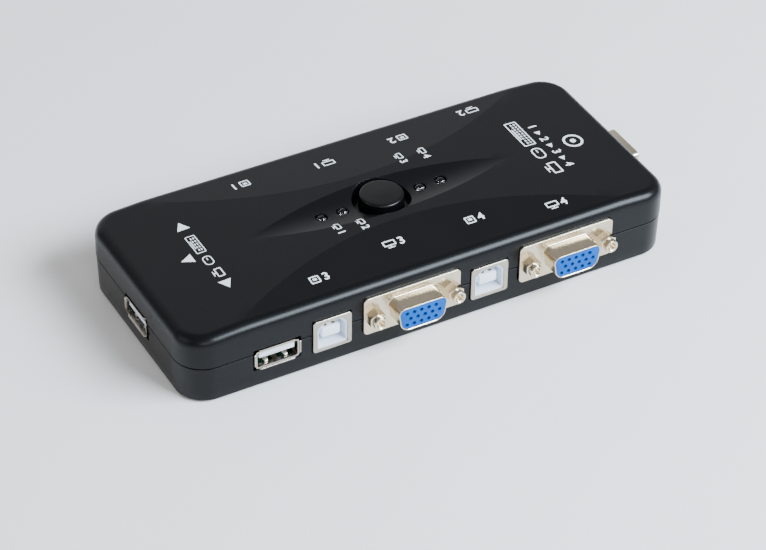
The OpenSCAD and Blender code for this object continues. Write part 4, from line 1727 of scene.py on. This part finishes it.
@dataclass
class Studio:
    """Camera, soft lights, pale floor and shaded surroundings. Lengths are in metres."""

    form: CaseForm
    camera_place: tuple[float, float, float] = (-327.2, -588.4, 524.5)
    azimuth: float = 29.14
    elevation: float = 38.19
    roll: float = 0.77
    lens: float = 137.9
    glow_azimuth: float = 5.0
    glow_elevation: float = 20.0
    glow_span: tuple[float, float] = (0.80, 0.90)
    glow_levels: tuple[float, float] = (0.40, 1.0)

    def camera(self) -> None:
        """Add the camera and make it the scene's."""
        data = bpy.data.cameras.new("camera")
        data.lens = self.lens
        data.sensor_width = 36.0
        data.clip_start = 0.01
        camera = bpy.data.objects.new("camera", data)
        bpy.context.collection.objects.link(camera)
        turn = (Matrix.Rotation(-math.radians(self.azimuth), 4, "Z")
                @ Matrix.Rotation(math.radians(90 - self.elevation), 4, "X")
                @ Matrix.Rotation(math.radians(self.roll), 4, "Z"))
        camera.matrix_world = Matrix.Translation(self.form.place(*self.camera_place)) @ turn
        bpy.context.scene.camera = camera

    @staticmethod
    def backdrop_material() -> bpy.types.Material:
        """Make the pale matt surface of the floor."""
        finish = Finish("pale_paper", (0.95, 0.93, 0.915), (0.93, 0.91, 0.895), (0.9, 0.95),
                        grain_size=2.0, grain_depth=0.0, stain_size=80.0, level=0.1)
        return finish.material()

    def stage(self) -> None:
        """Add the floor."""
        clear_selection()
        bpy.ops.mesh.primitive_plane_add(size=8.0, location=(0, 0, 0))
        floor = bpy.context.object
        floor.name = "floor"
        floor.data.materials.append(self.backdrop_material())

    def soft_light(self, name: str, place: tuple[float, float, float], size: tuple[float, float],
                   power: float, colour: tuple[float, float, float] = (1.0, 1.0, 1.0)) -> None:
        """Add an area light that faces the object.

        Args:
            name: Name of the light.
            place: Where it stands.
            size: Width and height.
            power: Power in watts.
            colour: Its colour.
        """
        data = bpy.data.lights.new(name, "AREA")
        data.shape = "RECTANGLE"
        data.size, data.size_y = size
        data.energy = power
        data.color = colour
        light = bpy.data.objects.new(name, data)
        bpy.context.collection.objects.link(light)
        light.location = place
        light.rotation_euler = (-Vector(place)).to_track_quat("-Z", "Y").to_euler()

    def sky(self) -> None:
        """Make the surroundings: dim, with a broad glow low down behind the object."""
        world = bpy.data.worlds.new("studio")
        bpy.context.scene.world = world
        world.use_nodes = True
        tree = world.node_tree
        place = tree.nodes.new("ShaderNodeTexCoord")
        lean = tree.nodes.new("ShaderNodeVectorMath")
        lean.operation = "DOT_PRODUCT"
        turn, rise = math.radians(self.glow_azimuth), math.radians(self.glow_elevation)
        lean.inputs[1].default_value = (math.sin(turn) * math.cos(rise), math.cos(turn) * math.cos(rise),
                                        math.sin(rise))
        tree.links.new(place.outputs["Generated"], lean.inputs[0])
        fade = tree.nodes.new("ShaderNodeMapRange")
        fade.inputs["From Min"].default_value, fade.inputs["From Max"].default_value = self.glow_span
        fade.inputs["To Min"].default_value, fade.inputs["To Max"].default_value = self.glow_levels
        tree.links.new(lean.outputs["Value"], fade.inputs["Value"])
        background = tree.nodes["Background"]
        background.inputs["Color"].default_value = (0.95, 0.97, 1.0, 1.0)
        tree.links.new(fade.outputs["Result"], background.inputs["Strength"])

    def build(self) -> None:
        """Set up the whole studio."""
        self.camera()
        self.stage()
        self.sky()
        self.soft_light("key", (0.50, -0.64, 0.68), (0.76, 0.42), 36.0, (0.77, 0.89, 1.0))
        self.soft_light("front_fill", (-0.5, -1.5, 0.9), (1.0, 0.7), 8.0, (0.95, 0.97, 1.0))
        self.soft_light("left_fill", (-1.4, 0.2, 0.7), (0.8, 0.8), 3.0, (1.0, 0.97, 0.93))


def main() -> None:
    """Build every piece round the frame."""
    logging.basicConfig(level=logging.INFO, format="%(message)s")
    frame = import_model()
    form = CaseForm.measured()
    Studio(form).build()
    lamps = Lamps(form)
    TopCover(form).build(lamps.places())
    BottomCover(form).build()
    PushButton(form).build()
    lamps.build()
    Underside(form).build()
    VideoPort(form).build(VIDEO_SHELLS)
    DataPort(form).build(DATA_SHELLS)
    ConsolePort(form).build(CONSOLE_SHELLS)
    Marks(form).build()
    Insides(frame).build()


if __name__ == "__main__":
    main()
